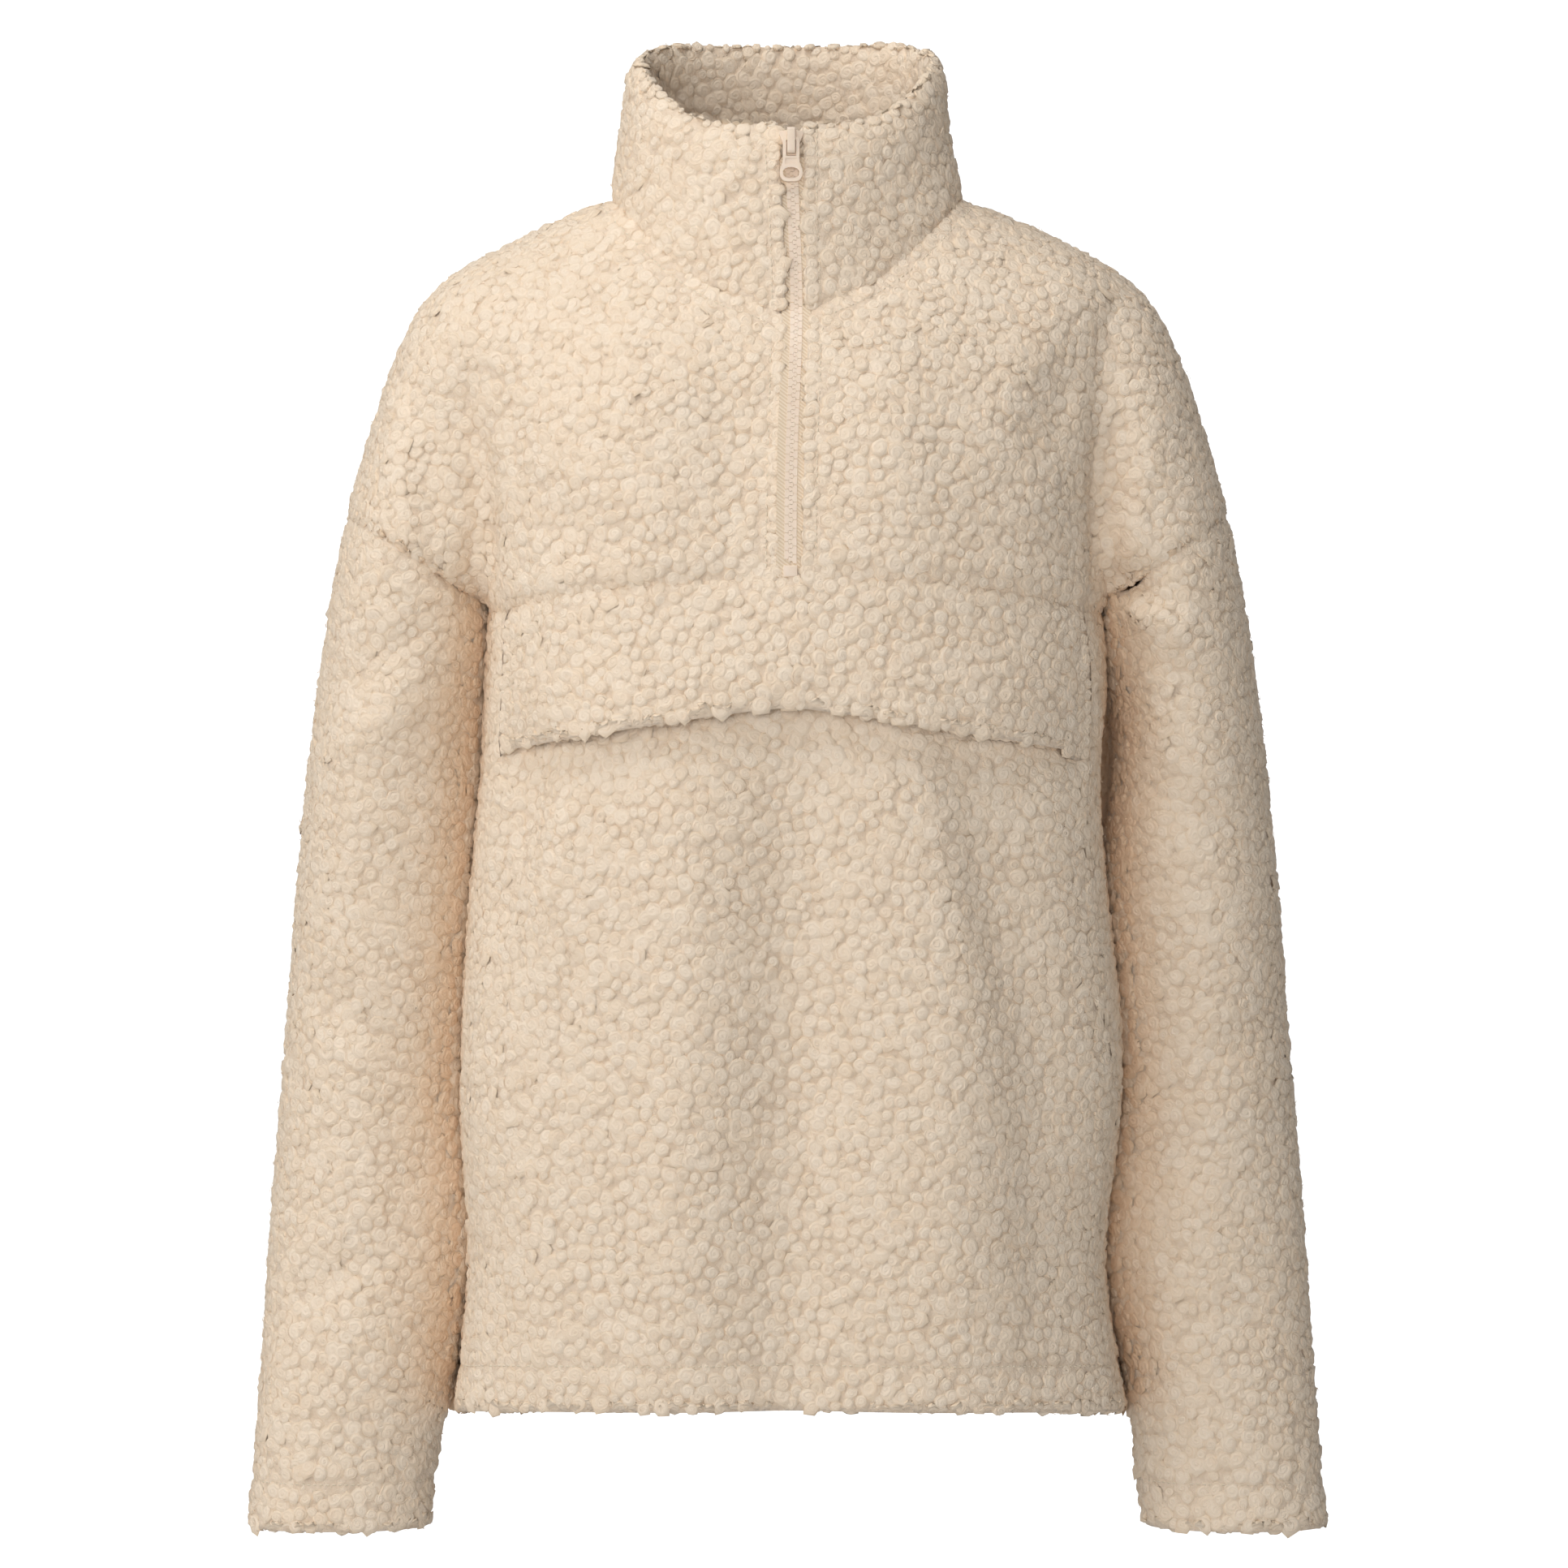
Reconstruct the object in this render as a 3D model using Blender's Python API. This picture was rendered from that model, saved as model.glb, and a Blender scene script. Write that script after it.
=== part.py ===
"""Curly-fleece half-zip pullover, filled out as when worn, with nobody inside it.

Frame: +X is the viewer's right, +Y the back, +Z up. The origin lies midway between the
two side-neck points, where a wearer's shoulders carry the garment.

The outer face of the cloth is where the tips of its curls reach. It comes from two forms:
a torso, cut level by level, and on each side an arm, cut by planes that turn from the
shoulder line to the level cuff. Each cloth piece is a grid laid on those forms, and its
inner face is moved in along the normals by the thickness of the cloth.

Working sizes are millimetres. MM turns them to metres when a mesh is written.
"""

import math

import bmesh
import bpy
import numpy as np
from mathutils import Matrix

MM = 0.001

# Cloth
CLOTH = 5.5  # fleece with its curls
COLLAR_CLOTH = 10.5  # the collar is two layers
SEAM_TRIM = 0.17  # each piece stops this far short of a seam
SLEEVE_SHY = 0.4  # the sleeve's face lies this much inside the arm form, clear of the body
ROUNDNESS = 2.35  # exponent of the torso's sections: 2 is an ellipse
ARM_ROUNDNESS = 2.1
WIDEST_Y = -28.0  # depth at which the torso is widest
SIDE_SEAM = math.radians(104.5)  # measured from the centre front
FILLET = 26.0  # how softly arm and torso run into each other
FACING_WEIGHT = 1.2  # how far the points of a shoulder part settle straight forward or back
MOST_SETTLING = 45.0  # and the longest way they go
PATCH_STEP = 0.05  # share of a shoulder part over which its points are evened out

# Neck and zip
NECK_HALF_WIDTH = 92.0
NECK_FRONT_Y = -86.0
NECK_SIDE_Y = 2.0
NECK_BACK_Y = 72.0
NECK_FRONT_Z = -64.0
NECK_SIDE_Z = 3.0
NECK_BACK_Z = 0.0
RIM_HALF_WIDTH = 81.6
RIM_FRONT_Y = -75.0
RIM_BACK_Y = 64.0
RIM_FRONT_Z = 37.5
RIM_BACK_Z = 91.5
RIM_RISE = [  # turn from the centre front in degrees, share of the way from the rim's front to its back
    (0, 0.0),
    (25, 0.0),
    (40, 0.12),
    (58, 0.40),
    (68, 0.57),
    (90, 0.73),
    (107, 0.81),
    (125, 0.94),
    (145, 0.99),
    (180, 1.0),
]
COLLAR_FULL = 1.5  # how far the collar's front and back stand out halfway up
COLLAR_SWAY = 1.0  # and how far they lie in low down and out high up
SIDE_FULL = 0.7  # its sides stand out less
RIGHT_HOLLOW = 3.6  # and its right side draws in
RIM_ROUNDING = 3.4  # how far each face turns in at the rim
RIM_START = 0.93  # share of the collar's height at which it starts to
NECK_CORNER = 0.5  # share of a panel's inner edge that runs up to the neckline
ZIP_GAP = 5.9  # half the gap between the two fleece edges
ZIP_BOTTOM_Z = -197.0
STOP_LENGTH = 5.7
STOP_DEPTH = 1.8
STOP_THICKNESS = 3.4
SLIDER_ROOM = 0.9  # how far each collar edge stands back at the slider
TAPE_DEPTH = 3.6
TAPE_THICKNESS = 1.2
TAPE_SIDE_GAP = 0.3
CHAIN_HALF_WIDTH = 3.1
CHAIN_DEPTH = 2.2
CHAIN_THICKNESS = 3.0

# Zip slider and pull, about the hinge axis
SLIDER_TOP = 5.2  # above the hinge axis
SLIDER_SHOULDER = 2.6
SLIDER_WAIST = -2.6
SLIDER_BOTTOM = -8.2
SLIDER_HALF_WIDTH = 6.1
SLIDER_NECK_HALF_WIDTH = 4.0
SLIDER_TIP_HALF_WIDTH = 1.6
SLIDER_FRONT = -1.5  # proud of the cloth's outer face
SLIDER_BACK = 4.6
BRIDGE_HALF_WIDTH = 2.05
BRIDGE_RISE = 3.7
BRIDGE_TOP = 5.8
BRIDGE_BOTTOM = -7.6
BRIDGE_WALL = 1.2
PIN_RADIUS = 0.85
PULL_THICKNESS = 1.7
PULL_HALF_WIDTH = 4.2
PULL_RING_HALF_WIDTH = 5.6
PULL_RING_HALF_HEIGHT = 5.0
PULL_WAIST_Z = -12.0
PULL_LENGTH = 22.0
HOLE_HALF_WIDTH = 3.9
HOLE_HALF_HEIGHT = 2.8
WINDOW_HALF_WIDTH = 2.5
WINDOW_BOTTOM = -8.9
HINGE_Z = 24.6
PIN_CLEARANCE = 0.4  # between the pull and the slider's face
CUT_REACH = 2.0  # how far a cutter passes each face of the pull

# Seams and edges
CHEST_SEAM_Z = -198.0
CHEST_SEAM_DROP = 15.0
HEM_Z = -621.0
HEM_SLOPE = -0.09  # the hem hangs lower towards the back
FLAP_CENTRE_Z = -262.0
FLAP_DROP = 0.16  # fall of the flap's edge for each mm sideways
FLAP_LIFT = 5.5  # how far the flap's edge stands off
FLAP_FREE_HALF = 139.0  # the flap's edge is free this far to each side of the middle
FLAP_END = math.radians(68.0)  # the flap is sewn down along its two ends, measured from the front
FLAP_STEP = math.radians(2.6)  # width over which the cloth beside the flap comes forward
FLAP_CLEAR = 3.0  # the cloth under the flap stays back this far below the flap's edge
SIDE_STEP = 9.0  # height over which it comes forward where the flap is sewn down
UNDER_FLAP = 0.6  # room between the flap and the cloth under it

# Grid counts
ACROSS = 10  # from side seam to zip
AROUND_ARM = 12  # half the armhole; the inner edge has half of them on the neckline
DOWN_BODY = 16
UNDER_FLAP_ROWS = 4
STEP_COLUMN = 3
FLAP_COLUMNS = 2 * ACROSS + 1 - 2 * (STEP_COLUMN + 1)
DOWN_SLEEVE = 20
UP_COLLAR = 8
ZIP_ROWS = 24


def table(names, rows):
    """Named columns from rows of numbers."""
    return dict(zip(names.split(), np.array(rows, float).T))


TORSO = table(
    "height centre half_width front back back_flare",
    [
        (-640, 1.5, 172.8, 118, 114, 29),
        (-618, 1.5, 172.8, 118, 114, 29),
        (-582, 0.2, 166.5, 119, 110, 28),
        (-540, -0.4, 163.0, 120, 108, 8),
        (-474, 1.5, 169.8, 122, 106, 0),
        (-431, 2.4, 169.8, 123, 105, 0),
        (-390, 1.3, 166.3, 124, 104, 0),
        (-350, 0.5, 162.9, 125, 104, 0),
        (-304, 1.7, 159.0, 126, 105, 0),
        (-249, 4.6, 158.6, 127, 107, 0),
        (-213, 4.1, 156.5, 126, 108, 0),
        (-190, 3.8, 155.5, 125, 108, 0),
        (-150, 2.0, 156.0, 121, 108, 0),
        (-110, 0.5, 153.0, 113, 106, 0),
        (-80, 0.0, 144.0, 102, 102, 0),
        (-55, 0.0, 126.0, 86, 96, 0),
        (-30, 0.0, 100.0, 66, 87, 0),
        (0, 0.0, 72.0, 44, 72, 0),
        (25, 0.0, 50.0, 34, 52, 0),
    ],
)
FLARE_START = 42.0  # behind the widest depth
FLARE_REACH = 34.0

ARM = table(
    "outer_x outer_z inner_left inner_right inner_z centre_y half_depth lean_left lean_right",
    [
        (66, 14, 28, 28, -104, 3.0, 62, 0, 0),
        (92, 3, 48, 48, -110, 2.0, 66, 0, 0),
        (122, -8.5, 72, 72, -116, 3.0, 68, 0, 0),
        (152, -23.2, 96, 96, -124, 6.0, 69, 0, 0),
        (174.5, -35.5, 113, 113, -136, 8.0, 70, 0, 0),
        (192.5, -53.5, 124, 124, -148, 10.0, 70, 0, 0),
        (208, -89, 134, 134, -167, 12.0, 70, 0, 0),
        (219.8, -126, 143, 143, -190, 12.8, 70, 0, 0),
        (230, -163, 148, 156, -212, 12.8, 70, 0, 0),
        (237.2, -200, 152, 164, -236, 14.0, 69, 0.05, 0.22),
        (243.5, -240, 154, 171, -262, 17.0, 67, 0.1, 0.40),
        (250, -290, 156, 171, -300, 20.0, 64, 0.1, 0.40),
        (256.2, -350, 158, 166, -352, 22.0, 61, 0.1, 0.25),
        (260.8, -410, 162, 166, -410, 24.0, 57, 0.1, 0.1),
        (265.6, -470, 165, 168, -470, 24.0, 53, 0.1, 0.1),
        (270.6, -535, 160, 160, -535, 18.0, 49, 0.1, 0.1),
        (274, -600, 173.5, 176.5, -600, 10.0, 44, 0, 0),
        (277.6, -655, 181, 179, -655, 2.0, 38, 0, 0),
        (280.3, -683, 183.5, 183.5, -683, -3.0, 35, 0, 0),
    ],
)
NECK_STATION = 1.0
ARMHOLE_STATION = 8.0
CUFF_STATION = 18.0
LEAN_EASE = 15.0  # depth over which the sleeve's back starts to lean towards the body

# Soft folds, as ridges (height over 0) and troughs seen from the front or the back.
FOLDS = table(
    "facing x_top z_top x_bottom z_bottom half_width height",
    [
        (-1, 4, -300, -6, -640, 34, -7.0),
        (-1, -44, -330, -52, -640, 30, 4.0),
        (-1, 72, -300, 88, -640, 34, 4.5),
        (-1, 98, -300, 128, -470, 20, -4.5),
        (-1, -128, -285, -150, -400, 15, -4.0),
        (-1, -22, -110, -30, -195, 30, -4.0),
        (-1, 40, -110, 62, -195, 34, 3.5),
        (-1, 162, -60, 118, -150, 18, 4.0),
        (-1, 160, -70, 158, -205, 9, -5.0),
        (-1, -164, -90, -154, -205, 9, -5.0),
        (-1, -190, -120, -176, -200, 11, -3.5),
        (-1, 190, -215, 214, -300, 15, 4.0),
        (-1, -196, -240, -226, -330, 16, 3.5),
        (-1, 220, -430, 206, -600, 16, 3.0),
        (-1, -226, -430, -214, -600, 16, 3.0),
        (1, 0, -260, 4, -640, 36, -6.0),
        (1, -70, -200, -84, -640, 34, 4.0),
        (1, 66, -240, 84, -640, 36, 4.5),
        (1, 132, -70, 96, -190, 20, 3.5),
        (1, -134, -70, -92, -200, 20, 3.5),
        (1, 150, -90, 150, -205, 10, -4.5),
        (1, -152, -90, -148, -205, 10, -4.5),
        (1, 206, -230, 222, -330, 16, 3.5),
        (1, -204, -250, -226, -340, 16, 3.5),
    ],
)


# ---------------------------------------------------------------- small mathematics


def smooth(at, knots, values):
    """Cubic curve through the knots, level beyond them."""
    at = np.clip(at, knots[0], knots[-1])
    slopes = np.gradient(values, knots)
    i = np.clip(np.searchsorted(knots, at) - 1, 0, len(knots) - 2)
    span = knots[i + 1] - knots[i]
    t = (at - knots[i]) / span
    start = (1 + 2 * t) * (1 - t) ** 2 * values[i] + t * (1 - t) ** 2 * span * slopes[i]
    end = t * t * (3 - 2 * t) * values[i + 1] + t * t * (t - 1) * span * slopes[i + 1]
    return start + end


def ease(t):
    """0 to 1 with level ends."""
    t = np.clip(t, 0, 1)
    return t * t * (3 - 2 * t)


def unit(vectors):
    return vectors / np.maximum(np.linalg.norm(vectors, axis=-1, keepdims=True), 1e-9)


def points(x, y, z):
    return np.stack(np.broadcast_arrays(x, y, z), axis=-1).astype(float)


def gradient(field, at):
    """Unit direction in which a field grows fastest."""
    step = 0.4
    parts = [field(at + step * axis) - field(at - step * axis) for axis in np.eye(3)]
    return unit(np.stack(parts, axis=-1))


# ---------------------------------------------------------------- torso form


def torso_level(z):
    return [smooth(z, TORSO["height"], TORSO[name]) for name in list(TORSO)[1:]]


def flared(half_width, flare, deep):
    """Half width of a section at a depth behind the widest one: the back stands out beyond the front."""
    return half_width + flare * ease((deep - FLARE_START) / FLARE_REACH)


def torso_point(angle, z):
    """Point of the torso's section at height z; angle 0 is the centre front, pi the back."""
    centre, half_width, front, back, flare = torso_level(z)
    sine, cosine = np.sin(angle), np.cos(angle)
    power = 2 / ROUNDNESS
    deep = np.where(cosine > 0, -(front + WIDEST_Y), back - WIDEST_Y) * np.abs(cosine) ** power
    x = centre + flared(half_width, flare, deep) * np.sign(sine) * np.abs(sine) ** power
    return points(x, WIDEST_Y + deep, z)


def torso_angle(x, z):
    """Angle at which the front of the section at height z has this x."""
    centre, half_width = torso_level(z)[:2]
    share = np.clip((x - centre) / half_width, -1, 1)
    return np.sign(share) * np.arcsin(np.abs(share) ** (ROUNDNESS / 2))


def torso_field(at):
    """Rough distance outside the torso, below 0 inside it."""
    centre, half_width, front, back, flare = torso_level(at[..., 2])
    across, deep = at[..., 0] - centre, at[..., 1] - WIDEST_Y
    depth = np.where(deep < 0, front + WIDEST_Y, back - WIDEST_Y)
    half_width = flared(half_width, flare, deep)
    size = (np.abs(across / half_width) ** ROUNDNESS + np.abs(deep / depth) ** ROUNDNESS) ** (1 / ROUNDNESS)
    return np.hypot(across, deep) * (1 - 1 / np.maximum(size, 1e-3))


# ---------------------------------------------------------------- arm form


def chest_seam_z(angle):
    return CHEST_SEAM_Z - CHEST_SEAM_DROP * np.sin(angle) ** 2


def underarm(side):
    """Where side seam, chest seam and armhole meet."""
    return torso_point(side * SIDE_SEAM, chest_seam_z(SIDE_SEAM))


class Arm:
    """Sections of one arm, from inside the neck to the cuff, cut by planes along Y."""

    def __init__(self, side, stations=181):
        self.side = side
        rows = np.arange(len(ARM["outer_x"]), dtype=float)
        corner = underarm(side)
        near = np.exp(-(((rows - ARMHOLE_STATION) / 2) ** 2))
        at_seam = int(ARMHOLE_STATION)
        inner_x = ARM["inner_right" if side > 0 else "inner_left"]
        inner_x = inner_x + near * (side * corner[0] - inner_x[at_seam])
        inner_z = ARM["inner_z"] + near * (corner[2] - ARM["inner_z"][at_seam])
        centre_y = ARM["centre_y"] + near * (corner[1] - ARM["centre_y"][at_seam])
        self.at = np.linspace(0, CUFF_STATION, stations)
        outer = np.stack([smooth(self.at, rows, ARM["outer_x"]), smooth(self.at, rows, ARM["outer_z"])], -1)
        inner = np.stack([smooth(self.at, rows, inner_x), smooth(self.at, rows, inner_z)], -1)
        self.centre = (outer + inner) / 2
        self.half_width = np.linalg.norm(outer - inner, axis=1) / 2
        self.across = unit(outer - inner)
        self.along = np.stack([self.across[:, 1], -self.across[:, 0]], -1)
        self.centre_y = smooth(self.at, rows, centre_y)
        self.half_depth = smooth(self.at, rows, ARM["half_depth"])
        self.lean = smooth(self.at, rows, ARM["lean_right" if side > 0 else "lean_left"])

    def read(self, column, at):
        """Value of a column at fractional positions in the list of stations."""
        i = np.clip(at.astype(int), 0, len(column) - 2)
        t = at - i
        t = t[..., None] if column.ndim == 2 else t
        return column[i] * (1 - t) + column[i + 1] * t

    def leaning(self, at, deep):
        """How far the section lies towards the body at a depth behind its middle."""
        behind = np.maximum(deep, 0)
        return self.read(self.lean, at) * behind**2 / (behind + LEAN_EASE)

    def point(self, station, angle):
        """Angle 0 is the front, a quarter turn the outer side, minus a quarter the underarm."""
        at = np.asarray(station, float) / CUFF_STATION * (len(self.at) - 1)
        power = 2 / ARM_ROUNDNESS
        sine, cosine = np.sin(angle), np.cos(angle)
        reach = self.read(self.half_width, at) * np.sign(sine) * np.abs(sine) ** power
        depth = self.read(self.half_depth, at) * np.sign(cosine) * np.abs(cosine) ** power
        reach = reach - self.leaning(at, -depth)
        flat = self.read(self.centre, at) + self.read(self.across, at) * reach[..., None]
        return points(self.side * flat[..., 0], self.read(self.centre_y, at) - depth, flat[..., 1])

    def field(self, at):
        """Rough distance outside the arm, below 0 inside it."""
        flat = np.stack([self.side * at[..., 0], at[..., 2]], -1)
        past = ((flat[..., None, :] - self.centre) * self.along).sum(-1)
        crossing = (past[..., :-1] >= 0) & (past[..., 1:] < 0)
        i = np.where(crossing.any(-1), crossing.argmax(-1), np.where(past[..., 0] < 0, 0, len(self.at) - 2))
        before = np.take_along_axis(past, i[..., None], -1)[..., 0]
        after = np.take_along_axis(past, i[..., None] + 1, -1)[..., 0]
        place = i + np.clip(before / np.where(before == after, 1, before - after), 0, 1)
        across = ((flat - self.read(self.centre, place)) * self.read(self.across, place)).sum(-1)
        deep = at[..., 1] - self.read(self.centre_y, place)
        across = across + self.leaning(place, deep)
        shares = np.abs(across / self.read(self.half_width, place)) ** ARM_ROUNDNESS
        shares = shares + np.abs(deep / self.read(self.half_depth, place)) ** ARM_ROUNDNESS
        size = np.maximum(shares ** (1 / ARM_ROUNDNESS), 1e-3)
        beyond = np.maximum(-past[..., 0], past[..., -1])
        return np.maximum(np.hypot(across, deep) * (1 - 1 / size), beyond)


ARMS = {side: Arm(side) for side in (-1, 1)}


def joined_field(at, fillet=FILLET):
    """The torso and the nearer arm as one form, with a soft fillet between them."""
    body = torso_field(at)
    arm = np.where(at[..., 0] > 0, ARMS[1].field(at), ARMS[-1].field(at))
    fillet = np.maximum(fillet, 1e-3)
    share = np.clip(0.5 + 0.5 * (arm - body) / fillet, 0, 1)
    return arm * (1 - share) + body * share - fillet * share * (1 - share)


def settle(at, ways, field, rounds=10):
    """Moves each point along its own way until the field is 0 there."""
    step = 0.5
    for _ in range(rounds):
        rise = (field(at + step * ways) - field(at - step * ways)) / (2 * step)
        rise = np.where(np.abs(rise) < 0.25, 0.25, rise)
        at = at - np.clip(field(at) / rise, -12, 12)[..., None] * ways
    return at


def fold_height(at, normals):
    """Height of the soft folds at points of the cloth."""
    total = np.zeros(at.shape[:-1])
    flat = at[..., [0, 2]]
    for row in zip(*FOLDS.values()):
        start, end = np.array(row[1:3]), np.array(row[3:5])
        facing, half_width, height = row[0], row[5], row[6]
        run = end - start
        along = ((flat - start) @ run) / (run @ run)
        away = np.linalg.norm(flat - start - np.clip(along, 0, 1)[..., None] * run, axis=-1)
        total += height * np.exp(-((away / half_width) ** 2)) * ease(facing * normals[..., 1] * 1.6)
    return total


def folded(at, normals, offset=0.0):
    """Points of a form moved out by its folds, and by an offset."""
    return at + normals * (fold_height(at, normals) + offset)[..., None]


# ---------------------------------------------------------------- neck and zip lines


def zip_x(z):
    """The zip sways a little to one side."""
    return 1.5 + 3.0 * np.exp(-(((z + 60) / 60) ** 2))


def neckline(angle):
    """The seam between collar and body; angle 0 is the centre front."""
    sine, cosine = np.sin(angle), np.cos(angle)
    ahead = cosine > 0
    y = NECK_SIDE_Y + np.where(ahead, NECK_FRONT_Y - NECK_SIDE_Y, NECK_SIDE_Y - NECK_BACK_Y) * cosine
    z = NECK_SIDE_Z + (np.where(ahead, NECK_FRONT_Z, NECK_BACK_Z) - NECK_SIDE_Z) * cosine**2
    raw = points(NECK_HALF_WIDTH * sine, y, z)
    for _ in range(6):
        raw = raw - joined_field(raw)[..., None] * gradient(joined_field, raw)
    return raw


def zip_angle(side):
    """Angle of a fleece edge beside the zip at the neckline."""
    return math.asin((zip_x(NECK_FRONT_Z) + side * ZIP_GAP) / NECK_HALF_WIDTH)


def front_edge(side, share):
    """Inner edge of an upper front: up along the zip, then along the neckline to the shoulder."""
    low = torso_point(torso_angle(zip_x(CHEST_SEAM_Z) + side * ZIP_GAP, CHEST_SEAM_Z), CHEST_SEAM_Z)[2]
    corner = neckline(np.array(zip_angle(side)))
    z = low + (corner[2] - low) * np.clip(share / NECK_CORNER, 0, 1)
    up = torso_point(torso_angle(zip_x(z) + side * ZIP_GAP, z), z)
    top = torso_point(torso_angle(zip_x(corner[2]) + side * ZIP_GAP, corner[2]), corner[2])
    up = up + (corner - top) * ease(share / NECK_CORNER)[..., None]
    around = np.clip((share - NECK_CORNER) / (1 - NECK_CORNER), 0, 1)
    angle = zip_angle(side) + (side * math.pi / 2 - zip_angle(side)) * around
    return np.where((share < NECK_CORNER)[..., None], up, neckline(angle))


def back_edge(side, share):
    """Centre back up to the neckline, then along the neckline to the shoulder."""
    low = torso_point(math.pi, CHEST_SEAM_Z)
    z = low[2] + (NECK_BACK_Z - low[2]) * np.clip(share / NECK_CORNER, 0, 1)
    up = torso_point(math.pi, z)
    corner = neckline(np.array(math.pi))
    top = torso_point(math.pi, NECK_BACK_Z)
    up = up + (corner - top) * ease(share / NECK_CORNER)[..., None]
    angle = side * (math.pi - math.pi / 2 * np.clip((share - NECK_CORNER) / (1 - NECK_CORNER), 0, 1))
    return np.where((share < NECK_CORNER)[..., None], up, neckline(angle))


# ---------------------------------------------------------------- surfaces: (u, v) to face and normal


def lower_body(angle, v):
    """Torso from the hem (v 0) to the chest seam (v 1), with rows close together at the flap's edge."""
    low = torso_point(angle, HEM_Z)
    hem = HEM_Z + HEM_SLOPE * (low[..., 1] - WIDEST_Y)
    edge = flap_edge_z(torso_point(angle, FLAP_CENTRE_Z)[..., 0]) - FLAP_CLEAR
    levels = [hem, edge - SIDE_STEP, edge, chest_seam_z(angle)]
    shares = [0, 1 - (UNDER_FLAP_ROWS + 1) / DOWN_BODY, 1 - UNDER_FLAP_ROWS / DOWN_BODY, 1]
    z = levels[0]
    for i in range(3):
        z = z + (levels[i + 1] - levels[i]) * np.clip((v - shares[i]) / (shares[i + 1] - shares[i]), 0, 1)
    at = torso_point(angle, z)
    return at, gradient(torso_field, at)


def half_angle(side, u):
    """Columns of one half of the front: side seam, the flap's sewn end and, at u 1, the zip."""
    zip_edge = abs(torso_angle(zip_x(CHEST_SEAM_Z) + side * ZIP_GAP, CHEST_SEAM_Z))
    ends = [SIDE_SEAM, FLAP_END + FLAP_STEP, FLAP_END, zip_edge]
    return side * np.interp(u, [0, STEP_COLUMN / ACROSS, (STEP_COLUMN + 1) / ACROSS, 1], ends)


def front_angle(u):
    """Columns of the whole front: left half, across the zip, right half."""
    share = u * (2 * ACROSS + 1) / ACROSS
    right = half_angle(1, np.clip(2 + 1 / ACROSS - share, 0, 1))
    return np.where(share < 1 + 1e-6, half_angle(-1, np.clip(share, 0, 1)), right)


def flap_edge_z(x):
    """Height of the flap's free edge."""
    return FLAP_CENTRE_Z - FLAP_DROP * (np.hypot(x, 14) - 14)


def under_flap(at, angle):
    """How far the lower front lies back under the flap."""
    x, z = at[..., 0], at[..., 2]
    inside = ease((FLAP_END + FLAP_STEP - np.abs(angle)) / FLAP_STEP)
    middle = ease((FLAP_FREE_HALF - np.abs(x)) / 14)
    reach = SIDE_STEP + 26 * middle
    return (CLOTH + UNDER_FLAP) * inside * (1 - ease((flap_edge_z(x) - FLAP_CLEAR - z) / reach))


def front_lower(u, v):
    angle = front_angle(u)
    at, normals = lower_body(angle, v)
    return folded(at, normals, -under_flap(at, angle)), normals


def pocket_flap(u, v):
    angle = front_angle((STEP_COLUMN + 1 + u * FLAP_COLUMNS) / (2 * ACROSS + 1))
    top = chest_seam_z(angle)
    x = torso_point(angle, FLAP_CENTRE_Z)[..., 0]
    at = torso_point(angle, flap_edge_z(x) + (top - flap_edge_z(x)) * v)
    normals = gradient(torso_field, at)
    middle = ease((FLAP_FREE_HALF - np.abs(x)) / 30)
    lift = FLAP_LIFT * middle * ease(1 - v) ** 1.4
    return folded(at, normals, lift), normals


def back_lower(u, v):
    at, normals = lower_body(SIDE_SEAM + (2 * math.pi - 2 * SIDE_SEAM) * u, v)
    return folded(at, normals), normals


def patch(u, v, curves):
    """Surface patch between four border curves: left and right run up, bottom and top run across."""
    left, right, bottom, top = curves
    start, end = np.zeros(1), np.ones(1)
    s, t = u[:, None], v[:, None]
    sides = (1 - s) * left(v) + s * right(v) + (1 - t) * bottom(u) + t * top(u)
    low = (1 - s) * bottom(start) + s * bottom(end)
    high = (1 - s) * top(start) + s * top(end)
    return sides - (1 - t) * low - t * high


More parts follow.
